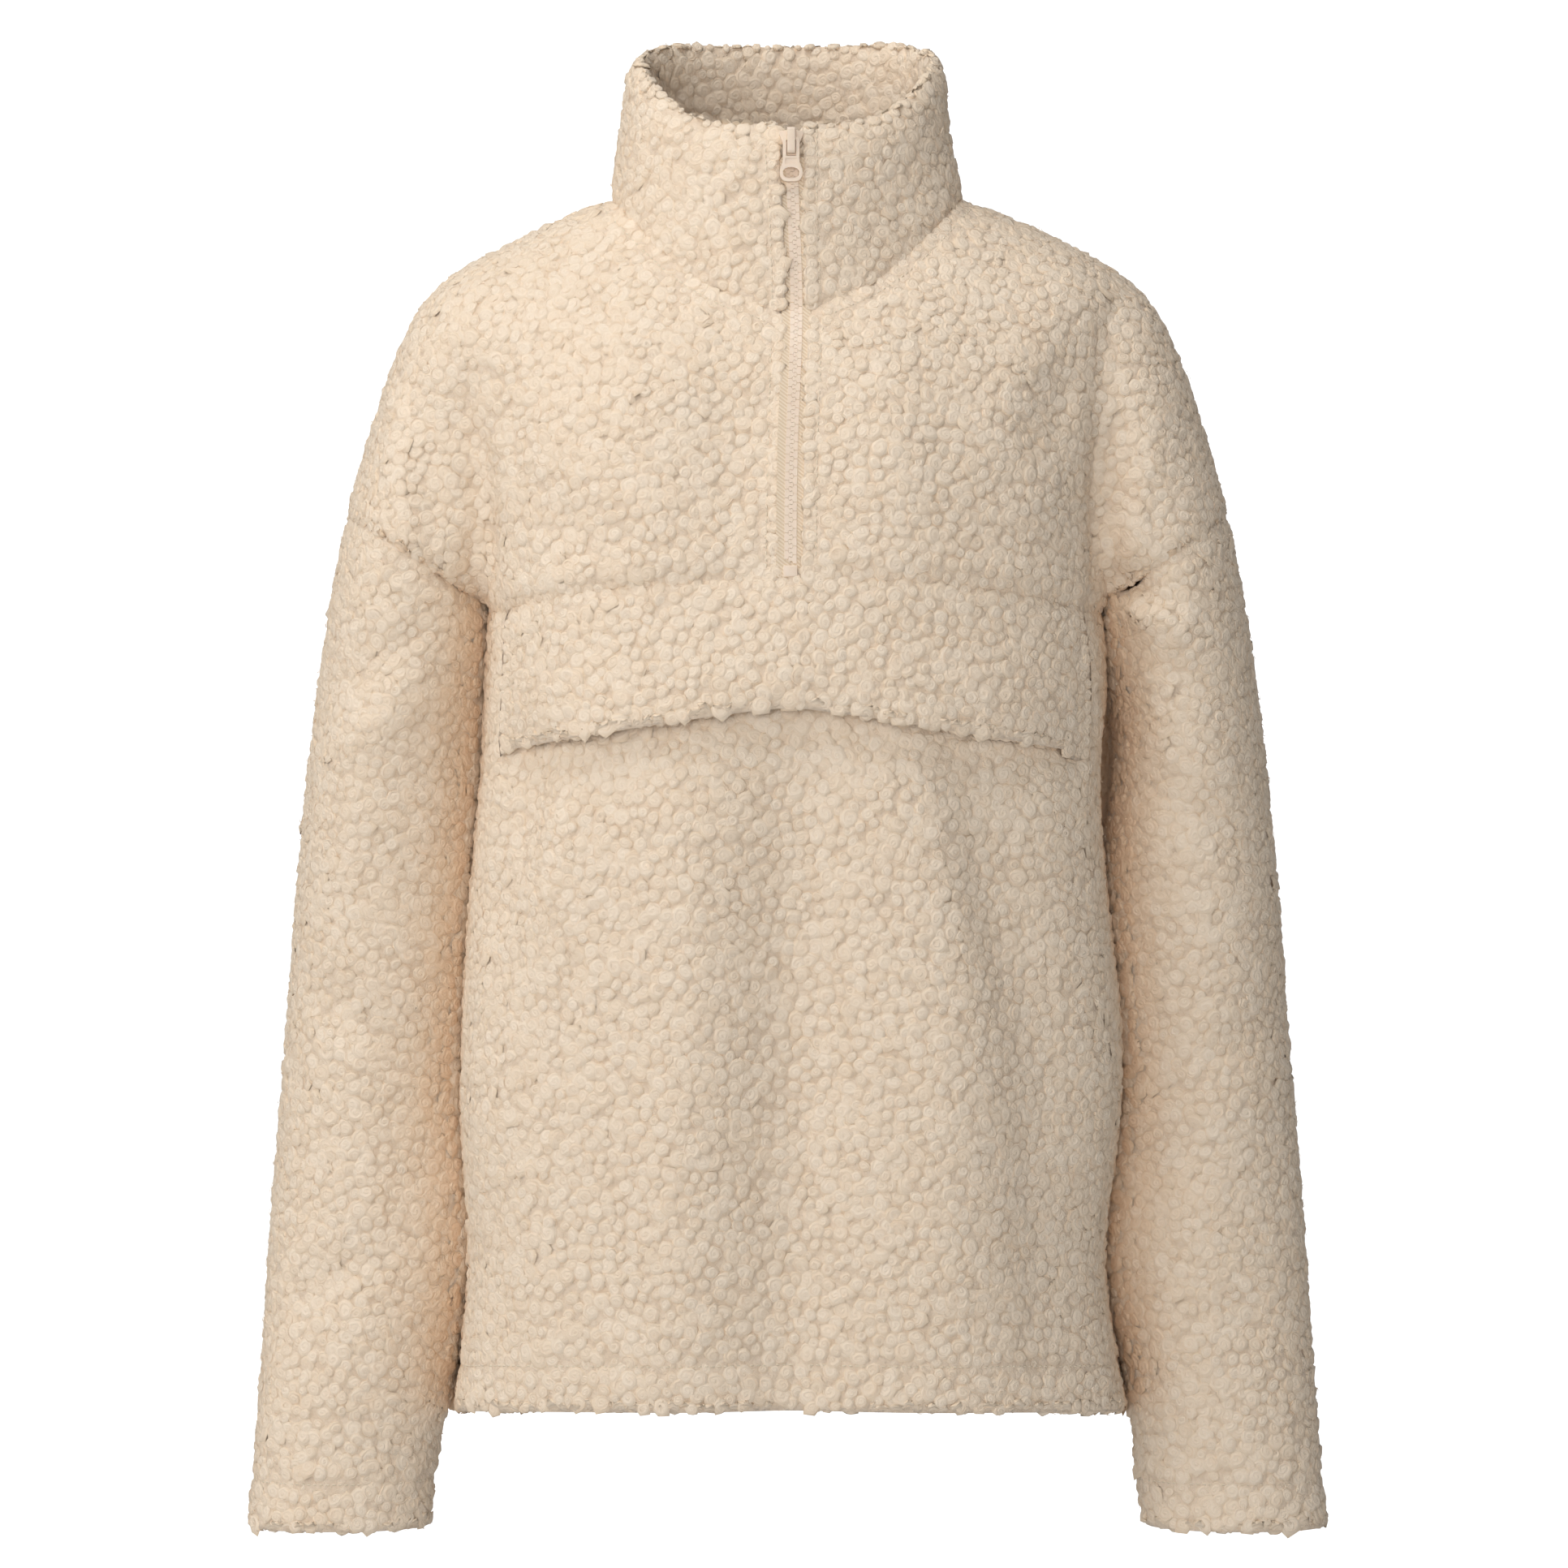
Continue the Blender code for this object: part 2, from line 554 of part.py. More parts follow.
def shoulder_part(side, back):
    """Upper front or upper back of one side: u from the armhole to the centre, v up to the shoulder seam."""
    arm = ARMS[side]
    edge = back_edge if back else front_edge
    facing = np.array([0.0, 1.0 if back else -1.0, 0.0])

    def armhole(v):
        turn = math.pi * v - math.pi / 2
        return arm.point(np.full(v.shape, ARMHOLE_STATION), math.pi - turn if back else turn)

    def inner(v):
        return edge(side, v)

    def chest(u):
        angle = side * (SIDE_SEAM + (math.pi - SIDE_SEAM) * u) if back else half_angle(side, u)
        return torso_point(angle, chest_seam_z(angle))

    def shoulder(u):
        station = ARMHOLE_STATION + (NECK_STATION - ARMHOLE_STATION) * u
        return arm.point(station, np.full(u.shape, math.pi / 2))

    curves = (armhole, inner, chest, shoulder)
    fields = (arm.field, joined_field, torso_field, arm.field)
    ways_out = [lambda t, c=curve, f=field: gradient(f, c(t)) for curve, field in zip(curves, fields)]

    def way(u, v):
        """From the patch to the joined form; 0 on the four borders."""
        guess = patch(u, v, curves)
        ways = unit(patch(u, v, ways_out) + FACING_WEIGHT * facing)
        soft = FILLET * ease(u / 0.3) * ease(v / 0.3)
        move = settle(guess, ways, lambda at: joined_field(at, soft)) - guess
        length = np.linalg.norm(move, axis=-1)
        inside = np.minimum(np.minimum(u, 1 - u), np.minimum(v, 1 - v))
        most = MOST_SETTLING * np.clip(inside / 0.3, 0, 1) ** 1.5
        return move * np.minimum(1, most / np.maximum(length, 1e-6))[:, None]

    def place(u, v):
        inside = np.minimum(np.minimum(u, 1 - u), np.minimum(v, 1 - v))
        reach = np.minimum(inside, PATCH_STEP)
        ring = [(reach, 0), (-reach, 0), (0, reach), (0, -reach)]
        around = sum(way(u + du, v + dv) for du, dv in ring) / len(ring)
        return patch(u, v, curves) + (way(u, v) + around) / 2

    def surface(u, v):
        at = place(u, v)
        lower_u, upper_u = np.clip(u - PATCH_STEP, 0, 1), np.clip(u + PATCH_STEP, 0, 1)
        lower_v, upper_v = np.clip(v - PATCH_STEP, 0, 1), np.clip(v + PATCH_STEP, 0, 1)
        normals = unit(np.cross(place(upper_u, v) - place(lower_u, v), place(u, upper_v) - place(u, lower_v)))
        normals *= np.sign((normals * patch(u, v, ways_out)).sum(-1).mean())
        for border, field in zip((u < 1e-6, u > 1 - 1e-6, v < 1e-6, v > 1 - 1e-6), fields):
            normals = np.where(border[:, None], gradient(field, at), normals)
        normals = np.where(((u < 1e-6) & (v < 1e-6))[:, None], np.array([0, 0, -1.0]), normals)
        return folded(at, normals), normals

    return surface


def sleeve(side):
    def surface(u, v):
        angle = math.pi * (2 * u - 0.5)
        station = ARMHOLE_STATION + (CUFF_STATION - ARMHOLE_STATION) * v
        at = ARMS[side].point(station, angle)
        normals = gradient(ARMS[side].field, at)
        return folded(at, normals, -SLEEVE_SHY), normals

    return surface


def collar_face(angle, rise):
    """Outer face of the collar: rise 0 is the neckline, 1 the rim."""
    foot = neckline(angle)
    sine, cosine = np.sin(angle), np.cos(angle)
    middle_y, half_y = (RIM_BACK_Y + RIM_FRONT_Y) / 2, (RIM_BACK_Y - RIM_FRONT_Y) / 2
    turn = np.degrees(np.arccos(np.clip(cosine, -1, 1)))
    rim_z = RIM_FRONT_Z + (RIM_BACK_Z - RIM_FRONT_Z) * smooth(turn, *np.array(RIM_RISE).T)
    narrowing = (NECK_HALF_WIDTH - RIM_HALF_WIDTH) * np.abs(sine)
    rim_x = (NECK_HALF_WIDTH - narrowing) * sine
    rim = points(rim_x, middle_y - half_y * cosine, rim_z)
    out = points(sine, -cosine, 0 * sine)
    bulge = np.sin(math.pi * rise)
    flare = (COLLAR_FULL + (SIDE_FULL - COLLAR_FULL) * sine**2) * bulge
    flare = flare - COLLAR_SWAY * (1 - sine**2) * np.sin(2 * math.pi * rise)
    flare = flare - RIGHT_HOLLOW * np.maximum(sine, 0) ** 2 * bulge**2
    at = foot + (rim - foot) * rise[..., None] + out * flare[..., None]
    sway = zip_x(at[..., 2]) - zip_x(NECK_FRONT_Z) + SLIDER_ROOM * np.sign(sine) * ease((at[..., 2] - 4) / 10)
    at[..., 0] += sway * ease((cosine - 0.6) / 0.38)
    return at


def rim_turn_in(v):
    return RIM_ROUNDING * np.clip((v - RIM_START) / (1 - RIM_START), 0, 1) ** 2


def collar(u, v):
    quarters = [zip_angle(1), math.pi / 2, math.pi, math.pi * 1.5, zip_angle(-1) + 2 * math.pi]
    angle = np.interp(u, [0, 0.25, 0.5, 0.75, 1], quarters)
    at = collar_face(angle, v)
    step = 1e-3
    around = collar_face(angle + step, v) - collar_face(angle - step, v)
    up = collar_face(angle, v + step) - collar_face(angle, v - step)
    normals = np.cross(around, up)
    normals[..., 2] *= ease(v / 0.2)  # the foot is cut level
    normals[..., 0] *= ease(np.minimum(u, 1 - u) / 0.04)  # the two ends are cut straight back
    normals = unit(normals)
    return at - normals * rim_turn_in(v)[..., None], normals


def collar_depth(u, v):
    """The collar's cloth thins as both faces turn in at the rim."""
    return COLLAR_CLOTH - 2 * rim_turn_in(v)


def zip_line(share, low, high):
    """Points down the middle of the zip, on the level of the cloth's outer face, with normals."""
    z = low + (high - low) * share
    on_body = torso_point(torso_angle(zip_x(z), z), z)
    body_normals = gradient(torso_field, on_body)
    on_body = folded(on_body, body_normals)
    rise = np.clip((z - NECK_FRONT_Z) / (RIM_FRONT_Z - NECK_FRONT_Z), 0, 1)
    middle = np.full(z.shape, (zip_angle(1) + zip_angle(-1)) / 2)
    on_collar = collar_face(middle, rise)
    collar_normals = unit(points(0 * z, -1.0, (RIM_FRONT_Y - NECK_FRONT_Y) / (RIM_FRONT_Z - NECK_FRONT_Z)))
    share = ease((z - NECK_FRONT_Z + 8) / 16)[..., None]
    at = on_body * (1 - share) + on_collar * share
    at[..., 0] = zip_x(z)
    return at, unit(body_normals * (1 - share) + collar_normals * share)


# ---------------------------------------------------------------- meshes


def material(name, colour, roughness):
    made = bpy.data.materials.new(name)
    made.use_nodes = True
    shader = made.node_tree.nodes["Principled BSDF"]
    shader.inputs["Base Color"].default_value = (*colour, 1)
    shader.inputs["Roughness"].default_value = roughness
    return made


def add_object(name, bm, made_material, collection):
    bmesh.ops.recalc_face_normals(bm, faces=bm.faces)
    mesh = bpy.data.meshes.new(name)
    bm.to_mesh(mesh)
    bm.free()
    mesh.shade_smooth()
    mesh.set_sharp_from_angle(angle=math.radians(50))
    mesh.materials.append(made_material)
    made = bpy.data.objects.new(name, mesh)
    collection.objects.link(made)
    return made


def trimmed(grid, sides):
    """Draws the named borders of a grid of points in by SEAM_TRIM, along the surface."""
    edges = {"u0": (0, 1, 0), "u1": (-1, -2, 0), "v0": (0, 1, 1), "v1": (-1, -2, 1)}
    for side in sides:
        edge, inside, axis = edges[side]
        rows = np.moveaxis(grid, axis, 0)
        rows[edge] += SEAM_TRIM * unit(rows[inside] - rows[edge])[..., :]
    return grid


def cloth_piece(name, patches, made_material, collection, depth=None):
    """A closed wall from one or more patches: (surface, columns, rows, trimmed borders)."""
    bm = bmesh.new()
    inner = bm.verts.layers.float_vector.new("inner")
    for surface, columns, rows, sides in patches:
        made = bmesh.ops.create_grid(bm, x_segments=columns, y_segments=rows, size=0.5)["verts"]
        flat = np.array([(vert.co.x, vert.co.y) for vert in made]) + 0.5
        column = np.rint(flat[:, 0] * columns).astype(int)
        row = np.rint(flat[:, 1] * rows).astype(int)
        u, v = column / columns, row / rows
        outer_points, normals = surface(u, v)
        thickness = np.full(u.shape, CLOTH) if depth is None else depth(u, v)
        faces = []
        for values in (outer_points, outer_points - normals * thickness[:, None]):
            grid = np.zeros((columns + 1, rows + 1, 3))
            grid[column, row] = values
            faces.append(grid)
        moved = trimmed(faces[0].copy(), sides) - faces[0]
        for vert, c, r in zip(made, column, row):
            vert.co = (faces[0] + moved)[c, r] * MM
            vert[inner] = tuple((faces[1] + moved)[c, r] * MM)
    bmesh.ops.remove_doubles(bm, verts=bm.verts, dist=2e-6)
    extruded = bmesh.ops.extrude_face_region(bm, geom=bm.faces[:], use_keep_orig=True)
    for item in extruded["geom"]:
        if isinstance(item, bmesh.types.BMVert):
            item.co = item[inner]
    return add_object(name, bm, made_material, collection)


def zip_strip(name, low, high, left, right, depth, thickness, segments, made_material, collection):
    """A flat strip that follows the zip, between two distances from its middle."""

    def surface(u, v):
        at, normals = zip_line(v, low, high)
        at[..., 0] += left + (right - left) * u
        normals = unit(normals * np.array([0, 1, 1]))
        return at - normals * depth, normals

    return cloth_piece(
        name,
        [(surface, 1, segments, ())],
        made_material,
        collection,
        depth=lambda u, v: np.full(u.shape, thickness),
    )


def plate(outline, near, far):
    """A flat plate from a closed outline in X and Z, between two depths in Y."""
    bm = bmesh.new()
    face = bm.faces.new([bm.verts.new((x * MM, near * MM, z * MM)) for x, z in outline])
    back = bmesh.ops.extrude_face_region(bm, geom=[face], use_keep_orig=True)
    moved = [item for item in back["geom"] if isinstance(item, bmesh.types.BMVert)]
    bmesh.ops.translate(bm, verts=moved, vec=(0, (far - near) * MM, 0))
    bmesh.ops.recalc_face_normals(bm, faces=bm.faces)
    return bm


def box(low, high):
    bm = bmesh.new()
    size = [(b - a) * MM for a, b in zip(low, high)]
    middle = [(b + a) / 2 * MM for a, b in zip(low, high)]
    bmesh.ops.create_cube(bm, size=1, matrix=Matrix.Translation(middle) @ Matrix.Diagonal((*size, 1)))
    return bm


def combine(base, other, operation, cutters):
    """Boolean of one object with a bmesh, which is kept as a hidden helper."""
    helper = add_object(base.name + "_" + operation.lower(), other, base.data.materials[0], cutters)
    helper.hide_render = True
    helper.display_type = "WIRE"
    helper.parent = base.parent
    step = base.modifiers.new(operation.title(), "BOOLEAN")
    step.operation = operation
    step.object = helper
    step.solver = "EXACT"


def oval(middle_z, half_width, half_height, count):
    """Closed outline in X and Z, about X 0."""
    steps = [2 * math.pi * i / count for i in range(count)]
    return [(half_width * math.cos(a), middle_z + half_height * math.sin(a)) for a in steps]


# ---------------------------------------------------------------- zip slider and pull

def zip_hardware(plastic, collection, cutters):
    """Slider with its bridge, and the pull that swings on it; both lean with the collar."""
    at, normal = zip_line(np.array([0.5]), HINGE_Z, HINGE_Z)
    lean = math.atan2(normal[0][2], -normal[0][1])
    frame = bpy.data.objects.new("slider_frame", None)
    collection.objects.link(frame)
    pin_y = SLIDER_FRONT - PIN_CLEARANCE - PIN_RADIUS
    middle = at[0] - normal[0] * pin_y
    frame.location = [value * MM for value in middle]
    frame.rotation_euler = (-lean, 0, 0)

    front, back = SLIDER_FRONT - pin_y, SLIDER_BACK - pin_y
    shoulder, neck = SLIDER_HALF_WIDTH, SLIDER_NECK_HALF_WIDTH
    right_half = [
        (neck, SLIDER_BOTTOM),
        (neck, SLIDER_WAIST),
        (shoulder, SLIDER_SHOULDER),
        (shoulder - 0.4, SLIDER_TOP - 0.6),
        (shoulder - 2.4, SLIDER_TOP - 0.9),
        (SLIDER_TIP_HALF_WIDTH, SLIDER_TOP),
    ]
    outline = right_half + [(-x, z) for x, z in reversed(right_half)]
    slider = add_object("zip_slider", plate(outline, front, back), plastic, collection)
    slider.parent = frame
    rise = front - BRIDGE_RISE
    bridge = box((-BRIDGE_HALF_WIDTH, rise, BRIDGE_BOTTOM), (BRIDGE_HALF_WIDTH, front + 1, BRIDGE_TOP - 1))
    combine(slider, bridge, "UNION", cutters)
    slot_low, slot_high = BRIDGE_BOTTOM + BRIDGE_WALL, BRIDGE_TOP - 1 - BRIDGE_WALL
    slot = box((-shoulder, rise + BRIDGE_WALL, slot_low), (shoulder, front - 0.02, slot_high))
    combine(slider, slot, "DIFFERENCE", cutters)

    ring_z = -PULL_LENGTH + PULL_RING_HALF_HEIGHT
    half = [(PULL_HALF_WIDTH, PIN_RADIUS), (PULL_HALF_WIDTH, PULL_WAIST_Z)]
    ring = [
        (PULL_RING_HALF_WIDTH * math.cos(a), ring_z + PULL_RING_HALF_HEIGHT * math.sin(a))
        for a in np.radians([15, -5, -25, -45, -65, -85])
    ]
    right = half + ring
    pull_outline = right + [(-x, z) for x, z in reversed(right)]
    depth = PULL_THICKNESS / 2
    pull = add_object("zip_pull", plate(pull_outline, -depth, depth), plastic, collection)
    pull.parent = frame
    window_low = (-WINDOW_HALF_WIDTH, -CUT_REACH, WINDOW_BOTTOM)
    window = box(window_low, (WINDOW_HALF_WIDTH, CUT_REACH, -PIN_RADIUS))
    combine(pull, window, "DIFFERENCE", cutters)
    hole = plate(oval(ring_z, HOLE_HALF_WIDTH, HOLE_HALF_HEIGHT, 14), -CUT_REACH, CUT_REACH)
    combine(pull, hole, "DIFFERENCE", cutters)
    return frame


def clear_scene():
    for item in list(bpy.data.objects):
        bpy.data.objects.remove(item, do_unlink=True)


def build():
    clear_scene()
    collection = bpy.data.collections.new("fleece_pullover")
    cutters = bpy.data.collections.new("cutters")
    bpy.context.scene.collection.children.link(collection)
    bpy.context.scene.collection.children.link(cutters)
    fleece = material("curly_fleece", (0.83, 0.73, 0.60), 0.95)
    facing = material("collar_fleece", (0.80, 0.69, 0.55), 0.95)
    tape = material("woven_zip_tape", (0.74, 0.61, 0.47), 0.8)
    plastic = material("moulded_zip_plastic", (0.80, 0.66, 0.52), 0.4)

    for side, word in ((-1, "left"), (1, "right")):
        patch = (shoulder_part(side, back=False), ACROSS, AROUND_ARM, ("u0", "u1", "v0", "v1"))
        cloth_piece("front_upper_" + word, [patch], fleece, collection)
        tube = (sleeve(side), 2 * AROUND_ARM, DOWN_SLEEVE, ("v0",))
        cloth_piece("sleeve_" + word, [tube], fleece, collection)
    columns = 2 * ACROSS + 1
    cloth_piece("front_lower", [(front_lower, columns, DOWN_BODY, ("u0", "u1", "v1"))], fleece, collection)
    flap = (pocket_flap, FLAP_COLUMNS, UNDER_FLAP_ROWS, ("u0", "u1", "v1"))
    cloth_piece("pocket_flap", [flap], fleece, collection)
    back_patches = [
        (back_lower, 2 * ACROSS, DOWN_BODY, ("u0", "u1")),
        (shoulder_part(-1, back=True), ACROSS, AROUND_ARM, ("u0", "v1")),
        (shoulder_part(1, back=True), ACROSS, AROUND_ARM, ("u0", "v1")),
    ]
    cloth_piece("back", back_patches, fleece, collection)
    band = (collar, 2 * AROUND_ARM, UP_COLLAR, ("v0",))
    cloth_piece("collar", [band], facing, collection, depth=collar_depth)

    low, high = ZIP_BOTTOM_Z, HINGE_Z + SLIDER_BOTTOM - 2 * TAPE_SIDE_GAP
    chain_low, stop_high = low + STOP_LENGTH + TAPE_SIDE_GAP, low + STOP_LENGTH
    half, inner, outer = CHAIN_HALF_WIDTH, CHAIN_HALF_WIDTH + TAPE_SIDE_GAP, ZIP_GAP - TAPE_SIDE_GAP
    parts = (
        ("zip_tape_left", low, high, -outer, -inner, TAPE_DEPTH, TAPE_THICKNESS, ZIP_ROWS, tape),
        ("zip_tape_right", low, high, inner, outer, TAPE_DEPTH, TAPE_THICKNESS, ZIP_ROWS, tape),
        ("zip_chain", chain_low, high, -half, half, CHAIN_DEPTH, CHAIN_THICKNESS, ZIP_ROWS, plastic),
        ("zip_bottom_stop", low, stop_high, -half, half, STOP_DEPTH, STOP_THICKNESS, 1, plastic),
    )
    for name, start, end, left, right, depth, thickness, segments, finish in parts:
        zip_strip(name, start, end, left, right, depth, thickness, segments, finish, collection)
    zip_hardware(plastic, collection, cutters)


build()
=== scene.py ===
# %% [markdown]
# # A curly-fleece half-zip pullover
#
# The pullover is filled out as when worn, with nobody inside it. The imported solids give
# its true form: each is a wall whose outer face is where the tips of the curls reach.
# This lesson dresses them. On every cloth solid it lays a thin shell with soft creases,
# grows some twenty thousand separate curls on that shell, sews it with thread, and gives
# the zip its teeth, its woven tapes, its slider and its pull.
#
# Lengths are metres, and MM turns millimetres into them. +X is the viewer's right, +Y
# the garment's back and +Z up.

import math

import bmesh
import bpy
import numpy as np
from mathutils import Matrix, Vector
from mathutils.bvhtree import BVHTree
from mathutils.kdtree import KDTree


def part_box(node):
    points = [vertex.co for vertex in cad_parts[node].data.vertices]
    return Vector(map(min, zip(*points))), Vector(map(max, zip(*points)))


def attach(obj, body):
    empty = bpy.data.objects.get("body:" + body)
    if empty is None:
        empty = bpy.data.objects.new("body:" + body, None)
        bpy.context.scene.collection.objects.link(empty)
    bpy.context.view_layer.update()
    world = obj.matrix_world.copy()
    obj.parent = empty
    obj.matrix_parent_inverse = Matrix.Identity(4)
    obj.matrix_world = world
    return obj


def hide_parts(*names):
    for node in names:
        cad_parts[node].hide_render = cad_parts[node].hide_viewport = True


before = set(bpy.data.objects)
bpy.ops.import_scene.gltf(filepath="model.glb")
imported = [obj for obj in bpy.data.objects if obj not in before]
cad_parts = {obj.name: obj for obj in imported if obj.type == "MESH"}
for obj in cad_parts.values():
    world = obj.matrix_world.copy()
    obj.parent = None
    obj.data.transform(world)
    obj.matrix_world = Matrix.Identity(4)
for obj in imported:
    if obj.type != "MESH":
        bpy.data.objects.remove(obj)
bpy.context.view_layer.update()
MM = 0.001
CLOTH_NODES = (
    "back",
    "front_lower",
    "front_upper_left",
    "front_upper_right",
    "pocket_flap",
    "sleeve_left",
    "sleeve_right",
    "collar",
)
print("solids:", ", ".join(sorted(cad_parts)))

# %% [markdown]
# ## Small helpers
#
# Colours are written as they look on a screen and turned linear in one place. One
# function adds a shader node with its settings and its links, so that each material
# below reads as a list of what it is made of.


# %% Helpers for numbers, meshes and materials
def linear(colour):
    """Linear red, green, blue, alpha from a screen colour such as "#F0E2CC"."""
    parts = [int(colour[i : i + 2], 16) / 255 for i in (1, 3, 5)]
    return [c / 12.92 if c <= 0.04045 else ((c + 0.055) / 1.055) ** 2.4 for c in parts] + [1.0]


def unit(vectors):
    return vectors / np.maximum(np.linalg.norm(vectors, axis=-1, keepdims=True), 1e-12)


def ease(t):
    """0 to 1 with level ends."""
    t = np.clip(t, 0, 1)
    return t * t * (3 - 2 * t)


def joined_mesh(name, points, faces, smooth=True):
    """A mesh from an array of points and an array of faces that all have one size."""
    mesh = bpy.data.meshes.new(name)
    size = faces.shape[1]
    mesh.vertices.add(len(points))
    mesh.vertices.foreach_set("co", np.asarray(points, np.float32).ravel())
    mesh.loops.add(faces.size)
    mesh.loops.foreach_set("vertex_index", np.asarray(faces, np.int32).ravel())
    mesh.polygons.add(len(faces))
    mesh.polygons.foreach_set("loop_start", np.arange(0, faces.size, size, dtype=np.int32))
    mesh.update(calc_edges=True)
    if smooth:
        mesh.shade_smooth()
    else:
        mesh.shade_flat()
    return mesh


def point_attribute(mesh, name, values):
    """Stores a number or a vector on each point, for the material to read."""
    values = np.asarray(values, np.float32)
    kind, key = ("FLOAT", "value") if values.ndim == 1 else ("FLOAT_VECTOR", "vector")
    mesh.attributes.new(name, kind, "POINT").data.foreach_set(key, values.ravel())


def add_piece(name, mesh, material, body="garment", parent=None):
    piece = bpy.data.objects.new(name, mesh)
    bpy.context.scene.collection.objects.link(piece)
    if material:
        mesh.materials.append(material)
    if parent:
        piece.parent = parent
    else:
        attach(piece, body)
    return piece


def new_material(name):
    material = bpy.data.materials.new(name)
    material.use_nodes = True
    return material, material.node_tree.nodes["Principled BSDF"]


def add_node(material, kind, inputs=None, out=0, to=None, **settings):
    """Adds one shader node and gives its output; inputs are values or outputs of other nodes.

    With to=(shader, "Base Color") the output is also linked on."""
    tree = material.node_tree
    node = tree.nodes.new("ShaderNode" + kind)
    for key, value in settings.items():
        setattr(node, key, value)
    for key, value in (inputs or {}).items():
        if isinstance(value, bpy.types.NodeSocket):
            tree.links.new(value, node.inputs[key])
        else:
            node.inputs[key].default_value = value
    if to:
        tree.links.new(node.outputs[out], to[0].inputs[to[1]])
    return node.outputs[out]


# %% [markdown]
# ## Where the cloth lies
#
# A cloth solid is a closed wall: an outer face, an inner face and narrow rims between
# them. The outer face is found by walking from face to face over every edge that bends
# less than a rim does, and keeping the largest stretch. Subdivision rounds it. Then the
# main creases are pressed in: soft troughs and ridges along short lines, each with its
# own length, width and height, seen from the front (facing -1) or from the back (1).
# Last, where a sleeve lies beside the body, both swell until their piles meet.

# %% Creases
RIM_BEND = math.radians(62)
COLLAR_RIM_BEND = math.radians(72)  # the collar's wall goes on over its round rim and down inside
ELBOW_Z = -0.300  # the right sleeve hangs nearer to the body round this height
ELBOW_REACH = 0.060
ELBOW_SWELL = 3.0 * MM
CREASES = [
    # facing, x_top, z_top, x_bottom, z_bottom, half_width, height: millimetres; then the lean:
    # above 0 the slope on the viewer's left of the line is the steep one
    (-1, 172, -46, 160, -108, 13, -5.0, 0.6),
    (-1, 160, -100, 160, -216, 15, -7.0, 0.7),
    (-1, 152, -90, 151, -214, 7, 2.7, 0.0),
    (-1, 178, -36, 118, -146, 15, -4.5, -0.4),
    (-1, 150, -30, 98, -140, 18, 3.0, 0.0),
    (-1, 186, -120, 166, -204, 9, 3.0, 0.0),
    (-1, -172, -84, -158, -140, 13, -4.5, -0.6),
    (-1, -158, -132, -152, -206, 14, -5.5, -0.7),
    (-1, -146, -110, -143, -200, 8, 2.4, 0.0),
    (-1, -190, -94, -176, -184, 11, -4.5, -0.4),
    (-1, -206, -90, -190, -176, 9, 2.7, 0.0),
    (-1, -130, -150, -96, -190, 11, -3.0, 0.2),
    (-1, -26, -84, -24, -190, 24, -4.5, 0.0),
    (-1, 56, -90, 54, -190, 22, 3.0, 0.0),
    (-1, 2, -296, 4, -606, 24, -5.4, 0.1),
    (-1, -46, -292, -50, -600, 22, 3.3, 0.0),
    (-1, 84, -330, 86, -600, 24, 3.0, 0.0),
    (-1, 80, -276, 121, -436, 17, -5.5, 0.6),
    (-1, 121, -430, 132, -600, 18, -3.8, 0.4),
    (-1, -122, -280, -140, -344, 10, -5.2, -0.3),
    (-1, -140, -340, -152, -380, 12, -3.8, -0.3),
    (-1, -106, -286, -122, -400, 12, 2.7, 0.0),
    (-1, -132, -470, -116, -606, 16, 2.7, 0.0),
    (-1, 160, -194, 196, -208, 7, -4.5, 0.0),
    (-1, 162, -204, 198, -222, 7, 3.9, 0.0),
    (-1, 182, -232, 224, -258, 9, -3.3, 0.0),
    (-1, 190, -300, 240, -334, 11, -3.0, 0.0),
    (-1, 252, -420, 205, -450, 12, -3.0, 0.0),
    (-1, 206, -556, 262, -590, 11, -3.0, 0.0),
    (-1, -178, -216, -228, -250, 10, -3.3, 0.0),
    (-1, -186, -256, -238, -286, 10, 2.7, 0.0),
    (-1, -250, -400, -204, -434, 12, -3.0, 0.0),
    (-1, -206, -536, -260, -572, 12, -3.0, 0.0),
    (-1, -149, -212, -113, -204, 4, -2.2, 0.0),
    (-1, -117, -205, -58, -198, 4, -2.0, 0.0),
    (-1, -62, -198, -4, -194, 4, -1.8, 0.0),
    (-1, 20, -195, 84, -198, 4, -2.2, 0.0),
    (-1, 80, -198, 121, -204, 4, -2.0, 0.0),
    (-1, 117, -203, 161, -212, 4, -2.2, 0.0),
    (-1, -140, -200, -40, -189, 6, 1.4, 0.0),
    (-1, 30, -187, 150, -200, 6, 1.6, 0.0),
    (1, 162, -80, 154, -200, 13, -5.0, 0.6),
    (1, -162, -84, -156, -200, 13, -5.0, -0.6),
    (1, 132, -100, 96, -190, 14, 3.0, 0.0),
    (1, -134, -100, -90, -194, 14, 3.0, 0.0),
    (1, 6, -210, 10, -606, 24, -4.5, 0.0),
    (1, -60, -240, -78, -612, 22, 3.3, 0.0),
    (1, 74, -280, 92, -606, 22, 3.0, 0.0),
    (1, 126, -410, 104, -600, 15, -4.5, -0.4),
    (1, -120, -310, -136, -540, 15, -4.5, 0.3),
    (1, 180, -214, 228, -252, 10, -3.6, 0.0),
    (1, -182, -218, -234, -258, 10, -3.6, 0.0),
    (1, 206, -440, 256, -472, 12, -3.0, 0.0),
    (1, -208, -450, -254, -480, 12, -3.0, 0.0),
]


